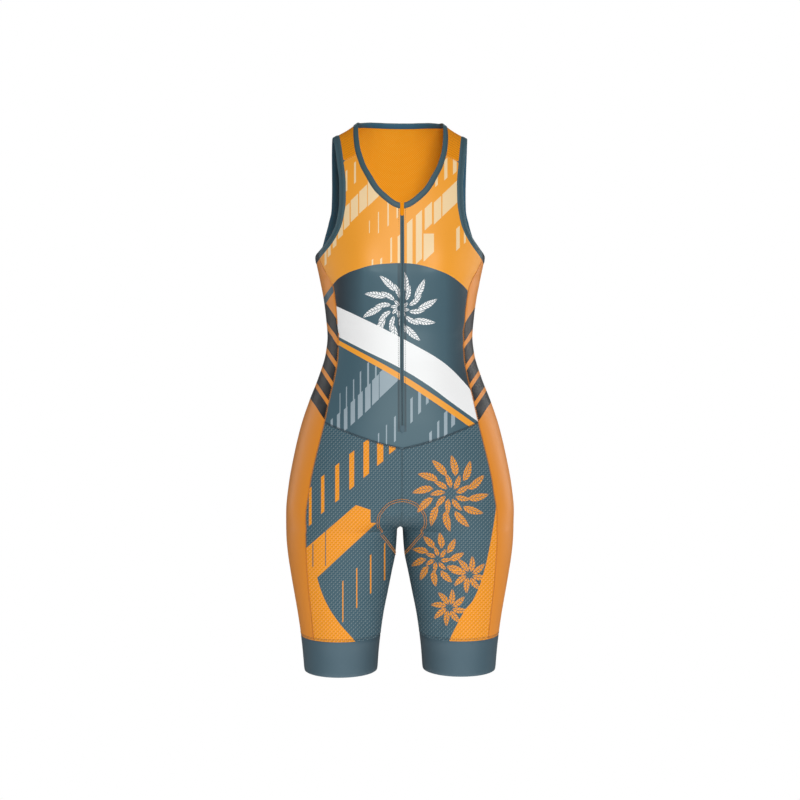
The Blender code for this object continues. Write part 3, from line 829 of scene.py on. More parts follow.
def centre_line(top, around):
    """The inner leg seam and the centre seam above it, with short steps near the crotch."""
    up = CROTCH + (top - CROTCH) * np.linspace(0, 1, DENSE) ** 3
    line = np.stack([np.full(DENSE, around), up], -1)
    above = pick(line, spread(line, form, [0.0, DENSE - 1.0], (HIP_ROWS,)))
    inseam = np.linspace(HEM_SEAM, CROTCH, LEG_ROWS + 1)[:-1]
    return np.concatenate([np.stack([np.full(LEG_ROWS, around), inseam], -1), above])


def walked_yoke():
    return fold(filled(seam.yoke_front, seam.yoke_back, seam.neck_yoke, seam.arm_yoke))


def front_grid():
    left = np.concatenate([seam.slit_foot[:-1], seam.slit[:-1], fold(seam.neck_front)])
    right = np.concatenate([seam.side_front[LEG_ROWS + HIP_ROWS : -1], fold(seam.arm_front)])
    half = filled(seam.waist_front[1:], fold(seam.yoke_front), left, right)
    middle = np.stack([0 * left[:, 0], left[:, 1]], -1)
    middle[0] = seam.waist_front[0]
    return np.concatenate([middle[:, None], half], axis=1)


def back_grid():
    left = np.concatenate([seam.side_back[LEG_ROWS + HIP_ROWS : -1], fold(seam.arm_back)[::-1]])
    top = np.concatenate([fold(seam.yoke_back)[::-1], fold(seam.neck_back)[1:]])
    rise = np.linspace(seam.waist_back[-1][1], top[-1][1], len(left))
    right = np.stack([np.full(len(left), 180.0), rise], -1)
    return filled(seam.waist_back, top, left, right)


def side_grid():
    hem = level_line(seam.side_front[0][0], seam.side_back[0][0], SIDE_COLUMNS, HEM_SEAM)
    return filled(hem, seam.armpit, seam.side_front, seam.side_back)


def leg_front_grid():
    side = seam.side_front[: LEG_ROWS + HIP_ROWS + 1]
    hem = level_line(0, side[0][0], FRONT_COLUMNS + 1, HEM_SEAM)
    return filled(hem, seam.waist_front, centre_line(seam.waist_front[0][1], 0.0), side)


def leg_back_grid():
    side = seam.side_back[: LEG_ROWS + HIP_ROWS + 1]
    hem = level_line(side[0][0], 180, BACK_COLUMNS, HEM_SEAM)
    return filled(hem, seam.waist_back, side, centre_line(seam.waist_back[-1][1], 180.0))


def hem_grid():
    front = np.linspace(0, seam.side_front[0][0], FRONT_COLUMNS + 2)
    side = np.linspace(front[-1], seam.side_back[0][0], SIDE_COLUMNS + 1)
    back = np.linspace(side[-1], 180, BACK_COLUMNS + 1)
    turn = np.concatenate([front[:-1], side[:-1], back[:-1]])
    return np.stack(np.meshgrid(turn, np.linspace(HEM_EDGE, HEM_SEAM, HEM_ROWS + 1)), -1)


print("front half grid:", front_grid().shape[:2], "places")

# %% [markdown]
# ## Soft creases
# Tight knit lies smooth, but it draws into shallow troughs where the body would bend and where a seam
# holds it: from the crotch out over the thighs, at the waist, and under the arms. Each crease is a
# soft trough along a curved line, given by its two ends on the front or the back of the form, how
# far it bows, and how deep and wide it is. A cloth solver would need a body to stretch over, and the
# suit is empty, so the creases are placed one by one. No two are alike.

# %% Crease lines
FRONT_CREASES = table(
    "x1 z1 x2 z2 bow depth wide",
    (9, -660, 58, -628, -5, 1.65, 7),
    (8, -668, 66, -662, 3, 1.35, 6),
    (9, -676, 52, -690, 4, 1.05, 6),
    (6, -650, 30, -604, -4, 1.2, 6),
    (-10, -658, -62, -633, 5, 1.5, 7),
    (-8, -667, -60, -668, -3, 1.35, 6),
    (-9, -679, -48, -697, -4, 0.9, 6),
    (-6, -648, -27, -600, 4, 1.05, 6),
    (118, -338, 74, -352, 4, 1.2, 9),
    (121, -368, 84, -379, -4, 0.9, 8),
    (-119, -345, -78, -357, -4, 1.2, 9),
    (-122, -371, -90, -380, 4, 0.75, 8),
    (134, -250, 104, -292, -6, 1.35, 9),
    (-134, -252, -106, -296, 6, 1.2, 9),
    (150, -478, 118, -452, 5, 0.75, 9),
    (-148, -474, -121, -446, -5, 0.75, 9),
    (60, -846, 76, -790, 3, 0.9, 8),
    (-58, -846, -72, -798, -3, 0.75, 8),
)
BACK_CREASES = table(
    "x1 z1 x2 z2 bow depth wide",
    (12, -668, 92, -694, -12, 1.6, 9),
    (-12, -670, -88, -697, 12, 1.5, 9),
    (14, -684, 70, -716, -6, 0.8, 8),
    (-14, -686, -64, -720, 6, 0.7, 8),
    (6, -640, 22, -560, 5, 0.8, 7),
    (-6, -642, -20, -566, -5, 0.8, 7),
    (104, -350, 18, -362, 7, 1.2, 11),
    (-108, -356, -30, -372, -8, 1.1, 11),
    (92, -330, 30, -326, -5, 0.7, 10),
    (-88, -382, -14, -392, 6, 0.8, 10),
    (126, -252, 84, -300, 7, 1.0, 10),
    (-128, -256, -80, -308, -7, 1.0, 10),
    (60, -846, 84, -780, -4, 0.7, 8),
    (-66, -846, -82, -788, 4, 0.6, 8),
)


CREASE_START = 5
CREASE_END = 1.8
CREASE_LIP = 0.45
LIP_AWAY = 1.5
SIDE_FADE = 30


def troughs(points, creases):
    """How deep the creases lie at each point, seen flat from the front or the back."""
    flat = points[..., [0, 2]]
    depth = np.zeros(points.shape[:-1])
    for x1, z1, x2, z2, bow, deep, wide in zip(*creases.values()):
        start, end = np.array([x1, z1]), np.array([x2, z2])
        way = end - start
        run = np.linalg.norm(way)
        along = ((flat - start) @ way) / run**2
        across = ((flat - start) @ np.array([-way[1], way[0]])) / run - bow * 4 * along * (1 - along)
        taper = np.clip(along * CREASE_START, 0, 1) * np.clip((1 - along) * CREASE_END, 0, 1)
        taper = taper * taper * (3 - 2 * taper)
        ridge = CREASE_LIP * np.exp(-(((np.abs(across) - LIP_AWAY * wide) / wide) ** 2))
        depth += deep * taper * (np.exp(-((across / wide) ** 2)) - ridge)
    return depth


def creased(points, normals, behind):
    """Points pressed into the creases of their side, or of both sides where behind is None."""
    side = points[..., 1] > 0 if behind is None else behind
    depth = np.where(side, troughs(points, BACK_CREASES), troughs(points, FRONT_CREASES))
    fade = np.clip(np.abs(points[..., 1]) / SIDE_FADE, 0, 1) if behind is None else 1.0
    return points - (depth * fade)[..., None] * normals


print("creases:", len(FRONT_CREASES["x1"]), "in front and", len(BACK_CREASES["x1"]), "behind")

# %% [markdown]
# ## Thin shells
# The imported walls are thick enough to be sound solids. Real knit is under a millimetre. Each piece is
# made again as a closed shell of that thickness: an outer face with the print, an inner face with the
# cloth's plain side, and rims between them. A Solidify modifier would thicken it too, but with two
# faces laid one by one each can have its own form and its own look. Every point also carries flat maps of where it lies, which the
# finishes read: the print sheet in front, and the run of the cloth for its stitches.

# %% Flat maps
def run_along(points, axis, start=0):
    """Distance walked over the cloth along the grid's rows or columns, from one of its lines."""
    step = np.linalg.norm(np.diff(points, axis=axis), axis=2)
    pad = [(1, 0) if k == axis else (0, 0) for k in (0, 1)]
    walked = np.cumsum(np.pad(step, pad), axis=axis)
    return walked - np.take(walked, [start], axis=axis)


def sheet_map(points, start=0):
    """Where the print sheet is seen from the front: the point, seen by the camera, on the mid plane."""
    cosine, sine = math.cos(VIEW_TURN), math.sin(VIEW_TURN)
    across = points[..., 0] * cosine + points[..., 1] * sine
    depth = VIEW_DISTANCE / MM - points[..., 0] * sine + points[..., 1] * cosine
    scale = VIEW_DISTANCE / MM / depth
    height = VIEW_HEIGHT / MM
    return np.stack([across * scale, height + (points[..., 2] - height) * scale, 0 * depth], -1)


def flat_map(points, start=0):
    return np.stack([points[..., 0], points[..., 2], 0 * points[..., 0]], -1)


def cloth_map(points, start=0):
    along, rising = run_along(points, 1, start), run_along(points, 0)
    return np.stack([np.abs(along), rising, 0 * along], -1)


chest_point = np.array([[[0.0, -90.0, -300.0]]])
print("a centre point on the print sheet:", sheet_map(chest_point).round(1)[0, 0])

# %% The shell of one piece
KNIT = 0.7
SEAM_DIP = 0.35
SHARP = math.radians(50)


def open_edges(quads):
    """Directed edges that only one quad has: the outline of the cloth."""
    edges = np.concatenate([quads[:, [k, (k + 1) % 4]] for k in range(4)])
    size = quads.max() + 1
    key = edges.min(1) * size + edges.max(1)
    kinds, counts = np.unique(key, return_counts=True)
    return edges[np.isin(key, kinds[counts == 1])]


def shell(name, outer, inner, looks, maps, keep=None, closed=""):
    """A piece of cloth from two grids of points, outer and inner, with rims where they end."""
    rows, columns = outer.shape[:2]
    index = np.arange(rows * columns).reshape(rows, columns)
    if closed == "rows":
        index = np.vstack([index, index[:1]])
    if closed == "columns":
        index = np.hstack([index, index[:, :1]])
    quads = np.stack([index[:-1, :-1], index[:-1, 1:], index[1:, 1:], index[1:, :-1]], -1)
    quads = quads[keep] if keep is not None else quads.reshape(-1, 4)
    used, flat = np.unique(quads, return_inverse=True)
    quads = flat.reshape(-1, 4)
    edges, count = open_edges(quads), len(used)
    rims = np.stack([edges[:, 1], edges[:, 0], edges[:, 0] + count, edges[:, 1] + count], -1)
    faces = np.concatenate([quads, quads[:, ::-1] + count, rims])
    spots = np.concatenate([grid.reshape(-1, 3)[used] for grid in (outer, inner)])
    mesh = bpy.data.meshes.new(name)
    mesh.from_pydata((spots * MM).tolist(), [], faces.tolist())
    for key, grid in maps.items():
        values = np.concatenate([grid.reshape(-1, 3)[used]] * 2).astype(np.float32)
        mesh.attributes.new(key, "FLOAT_VECTOR", "POINT").data.foreach_set("vector", values.ravel())
    for look in looks:
        mesh.materials.append(look.material)
    kinds = np.zeros(len(faces), np.int32)
    kinds[len(quads) : 2 * len(quads)] = len(looks) - 1
    mesh.polygons.foreach_set("material_index", kinds)
    mesh.shade_smooth()
    mesh.set_sharp_from_angle(angle=SHARP)
    piece = bpy.data.objects.new(name, mesh)
    bpy.context.scene.collection.objects.link(piece)
    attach(piece, "root")
    return piece


def dipped(shape, sides, depth=SEAM_DIP):
    """How far each point of a grid is drawn in, at the seams along its named edges."""
    dip = np.zeros(shape)
    lines = {"low": dip[0], "high": dip[-1], "first": dip[:, 0], "last": dip[:, -1]}
    for side in sides.split():
        lines[side][:] = depth
    return dip


def softened(normals, times=2):
    """Normals averaged with the rows above and below, so that the inner face stays inside."""
    for _ in range(times):
        normals = normals.copy()
        normals[1:-1] = unit(normals[:-2] + 2 * normals[1:-1] + normals[2:])
    return normals


def lay(name, points, normals, looks, maps, sides="low high first last", **options):
    """A knit panel: creased, drawn in at its seams, and as thick as the knit."""
    normals = softened(normals)
    behind = "back" in name if "side" not in name else None
    outer = creased(points, normals, behind) - dipped(points.shape[:2], sides)[..., None] * normals
    piece = shell(f"{name}_cloth", outer, outer - KNIT * normals, looks, maps, **options)
    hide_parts(name)
    return piece


print("knit:", KNIT, "mm thick")

# %% [markdown]
# ## Colours and cloths
# The suit is printed in two families of colour, oranges and slates, with white and near black. Each
# knit gets its own relief: a fine diagonal on the body, small dimples on the legs, holes in the mesh.

# %% Colours
SLATE = tone(67, 96, 109)
# A painted shade colour: it darkens the chest's slate towards the sides, the zip channel and the tape ends under the
# arm.
SHADED_SLATE = tone(30, 34, 46)
LEG_SLATE = tone(66, 98, 111)
BAND_SLATE = tone(70, 97, 110)
CHEST_ORANGE = tone(255, 168, 40)
LEG_ORANGE = tone(250, 157, 20)
SIDE_ORANGE = tone(238, 146, 38)
MESH_ORANGE = tone(252, 156, 16)
# Painted shade: the dark orange that the yoke mesh's holes are painted, as the shade seen through them.
SHADE_IN_HOLES = tone(150, 86, 8)
INSIDE_ORANGE = tone(255, 160, 12)
INSIDE_DOT = tone(255, 205, 90)
GARAGE_ORANGE = tone(244, 148, 4)
PALE = tone(255, 222, 170)
GREY = tone(158, 174, 184)
WHITE = tone(254, 254, 254)
BLACK = tone(20, 21, 24)
# A painted highlight colour for the dimples' lips.
DIMPLE_HIGHLIGHT = (1.0, 0.98, 0.92, 1)
COOL_SHINE = (0.85, 1.0, 1.0, 1)
TAPE = tone(69, 98, 108)
TAPE_INSIDE = tone(58, 104, 128)
print("slate:", [round(v, 3) for v in SLATE[:3]])

# %% [markdown]
# ## Knit relief
# The body's knit has a fine twill, the legs' a honeycomb of shallow dimples that breaks up the air.
# The twill follows the cloth's own run, so its rows bend with the panel; the dimples follow the flat chart
# of the print. A dimple is dark below its upper rim and catches light on its lower one, which the colour
# repeats very faintly as painted shade and a painted highlight.

# %% Twill, dimples and holes
TWILL = 1.7
DIMPLE = 6.8
DIMPLE_ROW = 3.5
HOLE_PITCH = 3.6
FULL_TURN = 2 * math.pi


def lattice(finish, along, up, wide, tall):
    """How far from the nearest cell's middle, and how far above it."""
    row = finish.node("ShaderNodeMath", {"operation": "FLOOR"}, {0: up / tall})
    across = ((along / wide + (row % 2) * 0.5) % 1 - 0.5) * wide
    above = (up / tall % 1 - 0.5) * tall
    return (across * across + above * above) ** 0.5, above


def twill(finish, strength=0.25):
    along, up = finish.place("cloth")
    wave = finish.node("ShaderNodeMath", {"operation": "SINE"}, {0: (along + up) * (FULL_TURN / TWILL)})
    cross = finish.node("ShaderNodeMath", {"operation": "SINE"}, {0: (along - up * 0.6) * (FULL_TURN / 1.1)})
    height = wave * 0.35 + cross * 0.12 + 0.5
    # Painted shade: the twill's grooves are a little darker than its ridges.
    finish.shade(height * 0.09 + 0.955)
    finish.bump(height, strength, 0.12)


def dimples(finish, strength=0.7):
    """Oval hollows in staggered rows, each darker in its middle with painted shade, and with a painted highlight on its
    lip low on its right.
    """
    along, up = finish.place("chart")
    row = finish.node("ShaderNodeMath", {"operation": "FLOOR"}, {0: up / DIMPLE_ROW})
    across = ((along / DIMPLE + (row % 2) * 0.5) % 1 - 0.5) * (DIMPLE / 2.9)
    above = (up / DIMPLE_ROW % 1 - 0.5) * (DIMPLE_ROW / 1.9)
    reach = (across * across + above * above) ** 0.5
    hollow = reach.held(0.0, 1.0)
    lip_highlight = reach.near(1.0, 0.26) * (across * 0.7 - above > 0.3)
    # Painted shade in each hollow's middle, and a painted highlight on its lower lip.
    finish.shade(hollow * hollow * 0.17 + 0.87)
    finish.paint(lip_highlight * 0.14, DIMPLE_HIGHLIGHT)
    finish.bump(hollow, strength, 0.5)


def pierced(finish, spot=SHADE_IN_HOLES):
    along, up = finish.place("cloth")
    reach, _ = lattice(finish, along, up, HOLE_PITCH, HOLE_PITCH * 0.55)
    # Holes painted in the spot colour; on the yoke mesh this is dark painted shade seen through them.
    finish.paint(reach < 0.62, spot)
    finish.bump((reach > 0.62) * 1.0, 0.5, 0.3)


print("dimples:", DIMPLE, "by", 2 * DIMPLE_ROW, "mm apart")

# %% [markdown]
# ## Slanted bars
# The print's repeat is an upright bar with slanted ends. A bar is where two numbers are both near
# their middles: the distance across, and the height less the slant. That takes four nodes a bar, so
# a whole chart of bars stays cheap and its edges stay crisp at any distance.

# %% Bars from a chart
CHEST_SLANT = 0.95
LEG_SLANT = 0.8


def bars(across, up, slant, chart):
    """One mask for all bars of a chart: each has a middle, a width, a height and how tall it is."""
    slanted = up - across * slant
    mask = 0.0
    for middle, wide, height, tall in zip(*chart.values()):
        inside_bar = across.near(middle, wide / 2) * slanted.near(height - slant * middle, tall / 2)
        mask = inside_bar + mask
    return mask.near(1.5, 1.0)


CHEST_BARS = table(
    "middle wide height tall",
    (-45.2, 19.0, -91.0, 60.0),
    (-62.6, 13.4, -117.3, 37.4),
    (-77.5, 12.7, -132.4, 36.9),
    (-90.6, 9.9, -147.0, 37.4),
    (-101.4, 8.5, -163.7, 37.4),
    (-111.2, 6.3, -180.2, 37.4),
    (-120.4, 5.1, -195.5, 37.4),
    (-126.6, 3.4, -210.8, 37.4),
    (-91.0, 2.9, -86.4, 34.7),
    (-76.5, 3.2, -72.3, 35.7),
    (-36.6, 1.7, -157.3, 35.7),
    (-20.2, 2.4, -142.0, 42.0),
    (-4.6, 2.6, -136.0, 27.0),
    (-52.0, 1.4, -164.6, 21.0),
    (77.9, 5.3, -66.3, 34.0),
    (93.2, 6.3, -55.3, 35.7),
    (62.1, 4.3, -85.0, 20.0),
    (106.6, 2.4, -41.7, 20.0),
    (63.8, 12.6, -136.3, 37.4),
    (85.8, 27.4, -115.2, 37.4),
    (48.2, 12.4, -146.2, 37.4),
    (32.2, 10.4, -182.0, 83.0),
    (16.5, 9.4, -194.0, 79.0),
    (-2.0, 4.0, -204.0, 49.0),
    (-15.0, 2.8, -204.0, 42.0),
    (-32.0, 3.4, -223.0, 10.0),
    (-46.8, 2.6, -225.0, 10.0),
    (98.6, 6.0, -184.0, 37.4),
    (110.3, 3.2, -177.7, 28.9),
)
GREY_BARS = table(
    "middle wide height tall",
    (-18.4, 32.8, -418.5, 43.5),
    (-41.7, 11.6, -441.7, 42.7),
    (-54.7, 9.4, -455.6, 41.7),
    (-67.5, 8.2, -467.7, 41.1),
    (-80.2, 7.5, -479.7, 39.1),
    (-92.4, 6.0, -491.3, 37.4),
    (-104.6, 5.3, -500.5, 37.0),
    (-116.1, 3.7, -510.0, 37.0),
    (-41.1, 2.7, -413.0, 24.0),
    (-54.2, 3.1, -415.7, 40.6),
    (-67.2, 2.3, -429.8, 38.5),
    (-78.9, 2.0, -442.4, 37.0),
    (-91.0, 1.8, -455.3, 38.0),
    (-102.0, 1.3, -465.3, 35.4),
    (19.6, 4.1, -476.4, 41.7),
    (33.3, 4.8, -460.9, 41.0),
    (46.4, 4.6, -447.0, 37.0),
    (-8.6, 3.2, -508.3, 42.5),
    (-23.0, 1.9, -518.0, 33.0),
    (-36.4, 2.0, -524.0, 17.0),
    (51.9, 4.4, -522.0, 18.0),
    (65.0, 3.6, -510.0, 30.0),
    (77.7, 5.8, -498.8, 40.5),
    (90.3, 6.5, -482.0, 42.5),
)
THIGH_BARS = table(
    "middle wide height tall",
    (-152.6, 4.9, -639.7, 63.6),
    (-131.4, 5.8, -619.3, 62.9),
    (-106.8, 7.0, -599.5, 62.4),
    (-82.1, 8.5, -578.4, 61.0),
    (-57.4, 9.7, -557.8, 60.0),
    (-33.7, 10.7, -537.0, 60.0),
    (-13.1, 11.2, -517.0, 60.0),
    (-26.1, 2.4, -733.6, 63.0),
    (-49.8, 2.4, -755.0, 66.0),
    (-73.5, 2.0, -778.6, 68.0),
    (-97.1, 1.9, -801.6, 70.0),
)
SLATE_LINES = table(
    "middle wide height tall",
    (-148.1, 1.5, -723.0, 39.0),
    (-126.5, 1.4, -711.0, 60.0),
    (-120.7, 1.2, -798.0, 19.0),
)
print("bars:", sum(len(chart["wide"]) for chart in (CHEST_BARS, GREY_BARS, THIGH_BARS)))

# %% [markdown]
# ## Sweeping edges
# Larger blocks end in long curves across the front. Each is a float curve through a few measured
# places, so the mask is simply: is this point above the curve?

# %% Curves across the front
ARC = (
    (-125, -113.9, -91.1, -70.6, -43.9, -21.1, 0, 22.1, 38.6, 67.5, 84, 102.5, 117),
    (-280.5, -261.8, -244, -236.3, -229.2, -227, -226.1, -227.4, -230.4, -239.5, -246.8, -260.1, -274.6),
)
BAND_TOP = (
    (-130, -108.8, -70.6, -34.5, 33.5, 63.4, 84, 104.6, 123.1),
    (-289.4, -299.2, -316.9, -334.4, -370.4, -387.9, -403.4, -424, -445.6),
)
BAND_FOOT = (
    (-130, -102.5, -62.4, 0, 46.9, 90.1, 133.5),
    (-338.7, -352.9, -373.5, -404.6, -433.2, -465.1, -496.1),
)
STRIPE_TOP = ((-130, -103.7, 0, 46.9, 125.8), (-343.4, -357.7, -414, -443.4, -498.1))
STRIPE_FOOT = ((-130, -102.9, 0, 46.9, 116.3), (-350.5, -366.4, -425, -455.3, -503.2))
LEFT_SWEEP = ((-880, -867, -833, -799, -760.9), (-68, -78.2, -107.1, -127.5, -140.8))
RIGHT_SWEEP = (
    (-880, -867, -844, -817.7, -797.3, -760, -700, -642.6),
    (80, 84.3, 95.2, 109.5, 125.1, 140, 154, 163.2),
)


LEAF_SWEEP = 0.25
LEAF_VEIN = 0.55
NICK_PITCH = 5.0
NICK = 0.26


def rosette(finish, across, up, spot, rings):
    """Rings of leaves round a spot: the leaves' mask, with a vein and slanted nicks left bare."""
    x, z = across - spot[0], up - spot[1]
    reach = (x * x + z * z) ** 0.5
    turn = finish.node("ShaderNodeMath", {"operation": "ARCTAN2"}, {0: x, 1: z})
    mask = 0.0
    for leaves, inner, outer, wide, start in zip(*rings.values()):
        share = (reach - inner) / (outer - inner)
        sweep = turn + share * LEAF_SWEEP
        off = abs((sweep * (leaves / FULL_TURN) + start) % 1 - 0.5) * reach * (FULL_TURN / leaves)
        belly = share * (1 - share) * (1.6 - share * 0.6) * (wide * 2.2)
        nicks = ((reach - off * 1.1) / NICK_PITCH % 1) > NICK
        leaf = (off < belly) * (off > LEAF_VEIN) * (share > 0) * (share < 1) * (nicks | (off < 1.5))
        mask = leaf + mask
    return mask > 0.5


print("curves:", 7)

# %% [markdown]
# ## The printed panels
# A finish starts with one cloth colour and is painted over, block by block, in the order in which
# each lies on top. The last step lays the knit over the print.

# %% Front of the vest
CHEST_LEAVES = table(
    "leaves inner outer wide start",
    (10, 30, 66, 8.0, 0.0),
    (10, 16, 44, 6.0, 0.5),
    (8, 4, 17, 4.4, 0.0),
)


BLOCK_ACROSS = (48.9, 8.8)
BLOCK_TOP = -176.1
BLOCK_FOOT = -262.0
# Painted shade on the chest's slate: its middle, where it begins and how far it takes to deepen.
SHADE_MIDDLE = 8
SHADE_FROM = 68
SHADE_FADE = 46
ZIP_ACROSS = 3.4
CHANNEL_HALF = 7.6
ZIP_FOOT = -513.0


def front_of_vest():
    finish = Finish("front_print", 0.58, Specular_IOR_Level=0.7, Specular_Tint=COOL_SHINE)
    finish.colour = CHEST_ORANGE
    across, up = finish.place("chart")
    finish.paint(bars(across, up, CHEST_SLANT, CHEST_BARS), PALE)
    block = across.near(*BLOCK_ACROSS) * (up < BLOCK_TOP) * (up - across * CHEST_SLANT > BLOCK_FOOT)
    finish.paint(block, PALE)
    finish.paint(up < across.curve(*ARC), SLATE)
    # Painted shade: the chest's slate grows darker towards both sides.
    deep = ((abs(across - SHADE_MIDDLE) - SHADE_FROM) / SHADE_FADE).held(0.0, 1.0)
    finish.paint((up < across.curve(*ARC)) * (up > across.curve(*BAND_TOP)) * deep, SHADED_SLATE)
    foot = up < across.curve(*STRIPE_FOOT)
    finish.paint(bars(across, up, CHEST_SLANT, GREY_BARS) * foot, GREY)
    finish.paint((up < across.curve(*BAND_TOP)) * (up > across.curve(*BAND_FOOT)), WHITE)
    finish.paint(rosette(finish, across, up, (0.0, -303.0), CHEST_LEAVES), WHITE)
    finish.paint((up < across.curve(*STRIPE_TOP)) * (1 - foot), CHEST_ORANGE)
    # Painted shade along the zip's sunk channel, on the slate only.
    channel_shade = across.near(ZIP_ACROSS, CHANNEL_HALF) * (up > ZIP_FOOT)
    slate = foot | ((up < across.curve(*ARC)) * (up > across.curve(*BAND_TOP)))
    finish.paint(channel_shade * slate * 0.5, SHADED_SLATE)
    twill(finish)
    finish.done()
    return finish


front_print = front_of_vest()
print("nodes in the front print:", len(front_print.tree.nodes))

# %% [markdown]
# The legs carry orange blocks on dimpled slate: bars and a broad diagonal on one thigh, rosettes of
# leaves on the other. A drawn picture would stretch on the curved leg. Masks worked out in the print
# sheet's millimetres stay true.

# %% Legs, left and right
THIGH_LEAVES = table(
    "leaves inner outer wide start",
    (12, 30, 66, 9.0, 0.0),
    (9, 9, 36, 6.6, 0.5),
)
KNEE_LEAVES = table(
    "leaves inner outer wide start",
    (10, 19, 47, 8.0, 0.0),
    (7, 5, 23, 5.2, 0.5),
)
SMALL_LEAVES = table("leaves inner outer wide start", (8, 5, 33, 7.0, 0.0))
LEAF_SPOTS = (
    ((86.0, -618.0), THIGH_LEAVES),
    ((64.0, -730.0), KNEE_LEAVES),
    ((118.0, -756.0), SMALL_LEAVES),
    ((84.0, -812.0), SMALL_LEAVES),
)


TIP_ACROSS = (-45.7, 4.4)
TIP_TOP = -667.5


def diagonal_band(across, up):
    """The left thigh's broad band, with its stepped upper end."""
    top = across * 0.862 - 573.0
    cap = across * -0.33 - 662.2
    foot = across * 0.923 - 631.0
    wide = (across < -50) * (up < top) * (up < cap)
    tip = across.near(*TIP_ACROSS) * (up < TIP_TOP)
    return (wide | tip) * (up > foot) * (across > -200), up > foot


def legs(name, front):
    """The thighs' print. The back has the bars on its other leg and no leaves."""
    finish = Finish(name, 0.66, Specular_IOR_Level=0.3)
    finish.colour = LEG_SLATE
    across, up = finish.place("chart")
    band, above = diagonal_band(across, up)
    left = across < 0
    sweep = (1 - above) * (across < up.curve(*LEFT_SWEEP)) * left
    barred = across if front else 0 - across
    finish.paint(bars(barred, up, LEG_SLANT, THIGH_BARS) * (barred < 0), LEG_ORANGE)
    finish.paint(band | sweep, LEG_ORANGE)
    finish.paint(bars(across, up, LEG_SLANT, SLATE_LINES), LEG_SLATE)
    finish.paint(across > up.curve(*RIGHT_SWEEP), LEG_ORANGE)
    for spot, leaves in LEAF_SPOTS if front else ():
        finish.paint(rosette(finish, across, up, spot, leaves), LEG_ORANGE)
    dimples(finish)
    finish.done()
    return finish


leg_print = legs("leg_print", True)
leg_back_print = legs("leg_back_print", False)
print("nodes in the leg print:", len(leg_print.tree.nodes))

# %% [markdown]
# A side panel is one strip from armhole to hem. Its slanted stripes are the fractional part of one
# number, so all of them cost as much as one.

# %% Side panels
STRIPE_PITCH = 42.8
STRIPE_WIDE = 11.5
STRIPE_RISE = 1.5
STRIPE_FIRST = -518.7
HAZARD_TOP = -488.0
HAZARD_FOOT = -696.0
MIDDLE = 3.4
TAIL_SLOPE = 1.55
TAIL_REACH = (-92.0, 8.0)


def sides():
    """Hazard stripes at the waist, and on the left the thin tail of the chest's arc."""
    finish = Finish("side_print", 0.5, Specular_IOR_Level=0.6)
    finish.colour = SIDE_ORANGE
    across, up = finish.place("chart")
    climb = up - abs(across - MIDDLE) * STRIPE_RISE
    zone = (climb < HAZARD_TOP) * (climb > HAZARD_FOOT)
    stripe = ((STRIPE_FIRST - climb) % STRIPE_PITCH) > STRIPE_WIDE
    finish.paint(zone * stripe, BLACK)
    tail = up - across * TAIL_SLOPE
    finish.paint(tail.near(*TAIL_REACH) * (across < 0), SLATE)
    twill(finish)
    finish.done()
    return finish


side_print = sides()
print("hazard stripes:", round((HAZARD_TOP - HAZARD_FOOT) / STRIPE_PITCH, 1))

# %% [markdown]
# Nothing shows of the back, so it carries on the front's blocks in the same colours and scale.

# %% Back of the vest
BACK_ARC = ((-130, -90, -45, 0, 45, 90, 130), (-292, -252, -229, -221, -229, -252, -292))
BACK_BAND = ((-150, -60, 60, 150), (-442, -392, -318, -270))
BACK_WHITE = (-20, 18)
BACK_STRIPE = (-52, 6)
BACK_BARS_TOP = 62


def back_of_vest():
    """The back carries on the front's blocks: pale bars above, the arc, and a rising white band."""
    finish = Finish("back_print", 0.58, Specular_IOR_Level=0.6, Specular_Tint=COOL_SHINE)
    finish.colour = CHEST_ORANGE
    across, up = finish.place("chart")
    finish.paint(bars(across, up, CHEST_SLANT, CHEST_BARS), PALE)
    finish.paint(up < across.curve(*BACK_ARC), SLATE)
    rise = across.curve(*BACK_BAND)
    finish.paint(bars(across, up, CHEST_SLANT, GREY_BARS) * (up < rise - BACK_BARS_TOP), GREY)
    finish.paint((up - rise).near(*BACK_WHITE), WHITE)
    finish.paint((up - rise).near(*BACK_STRIPE), CHEST_ORANGE)
    twill(finish)
    finish.done()
    return finish


back_print = back_of_vest()
print("nodes in the back print:", len(back_print.tree.nodes))

# %% Mesh, inside, bands and tape
def plain_knit(name, colour, roughness, relief, **sockets):
    finish = Finish(name, roughness, **sockets)
    finish.colour = colour
    relief(finish)
    finish.done()
    return finish


def ribs(finish):
    along, up = finish.place("cloth")
    rib = finish.node("ShaderNodeMath", {"operation": "SINE"}, {0: along * (FULL_TURN / 1.5)})
    # Painted shade: the ribs' grooves are a little darker.
    finish.shade(rib * 0.03 + 0.98)
    finish.bump(rib * 0.5 + 0.5, 0.3, 0.15)


def speckled(finish):
    pierced(finish, INSIDE_DOT)


inside = plain_knit("inside_mesh", INSIDE_ORANGE, 0.9, speckled, Specular_IOR_Level=0.12)
# The yoke mesh's holes are painted dark, as shade.
mesh_knit = plain_knit("mesh_knit", MESH_ORANGE, 0.8, pierced, Specular_IOR_Level=0.2)
LEG_MIDDLE = 104.0
LEG_HALF = 62.0


def band_painted_sheen(finish):
    """Ribbed, with a painted highlight along the middle of each leg where the dense band shines, and painted shade
    towards its sides.
    """
    across, _ = finish.place("chart")
    ribs(finish)
    # Painted highlight in the middle of each leg's band, painted shade towards its sides.
    finish.shade(1.12 - ((abs(across) - LEG_MIDDLE) / LEG_HALF) ** 2 * 0.42)


band_knit = plain_knit("band_knit", BAND_SLATE, 0.42, band_painted_sheen, Specular_IOR_Level=0.9)

END_ACROSS = 135.0


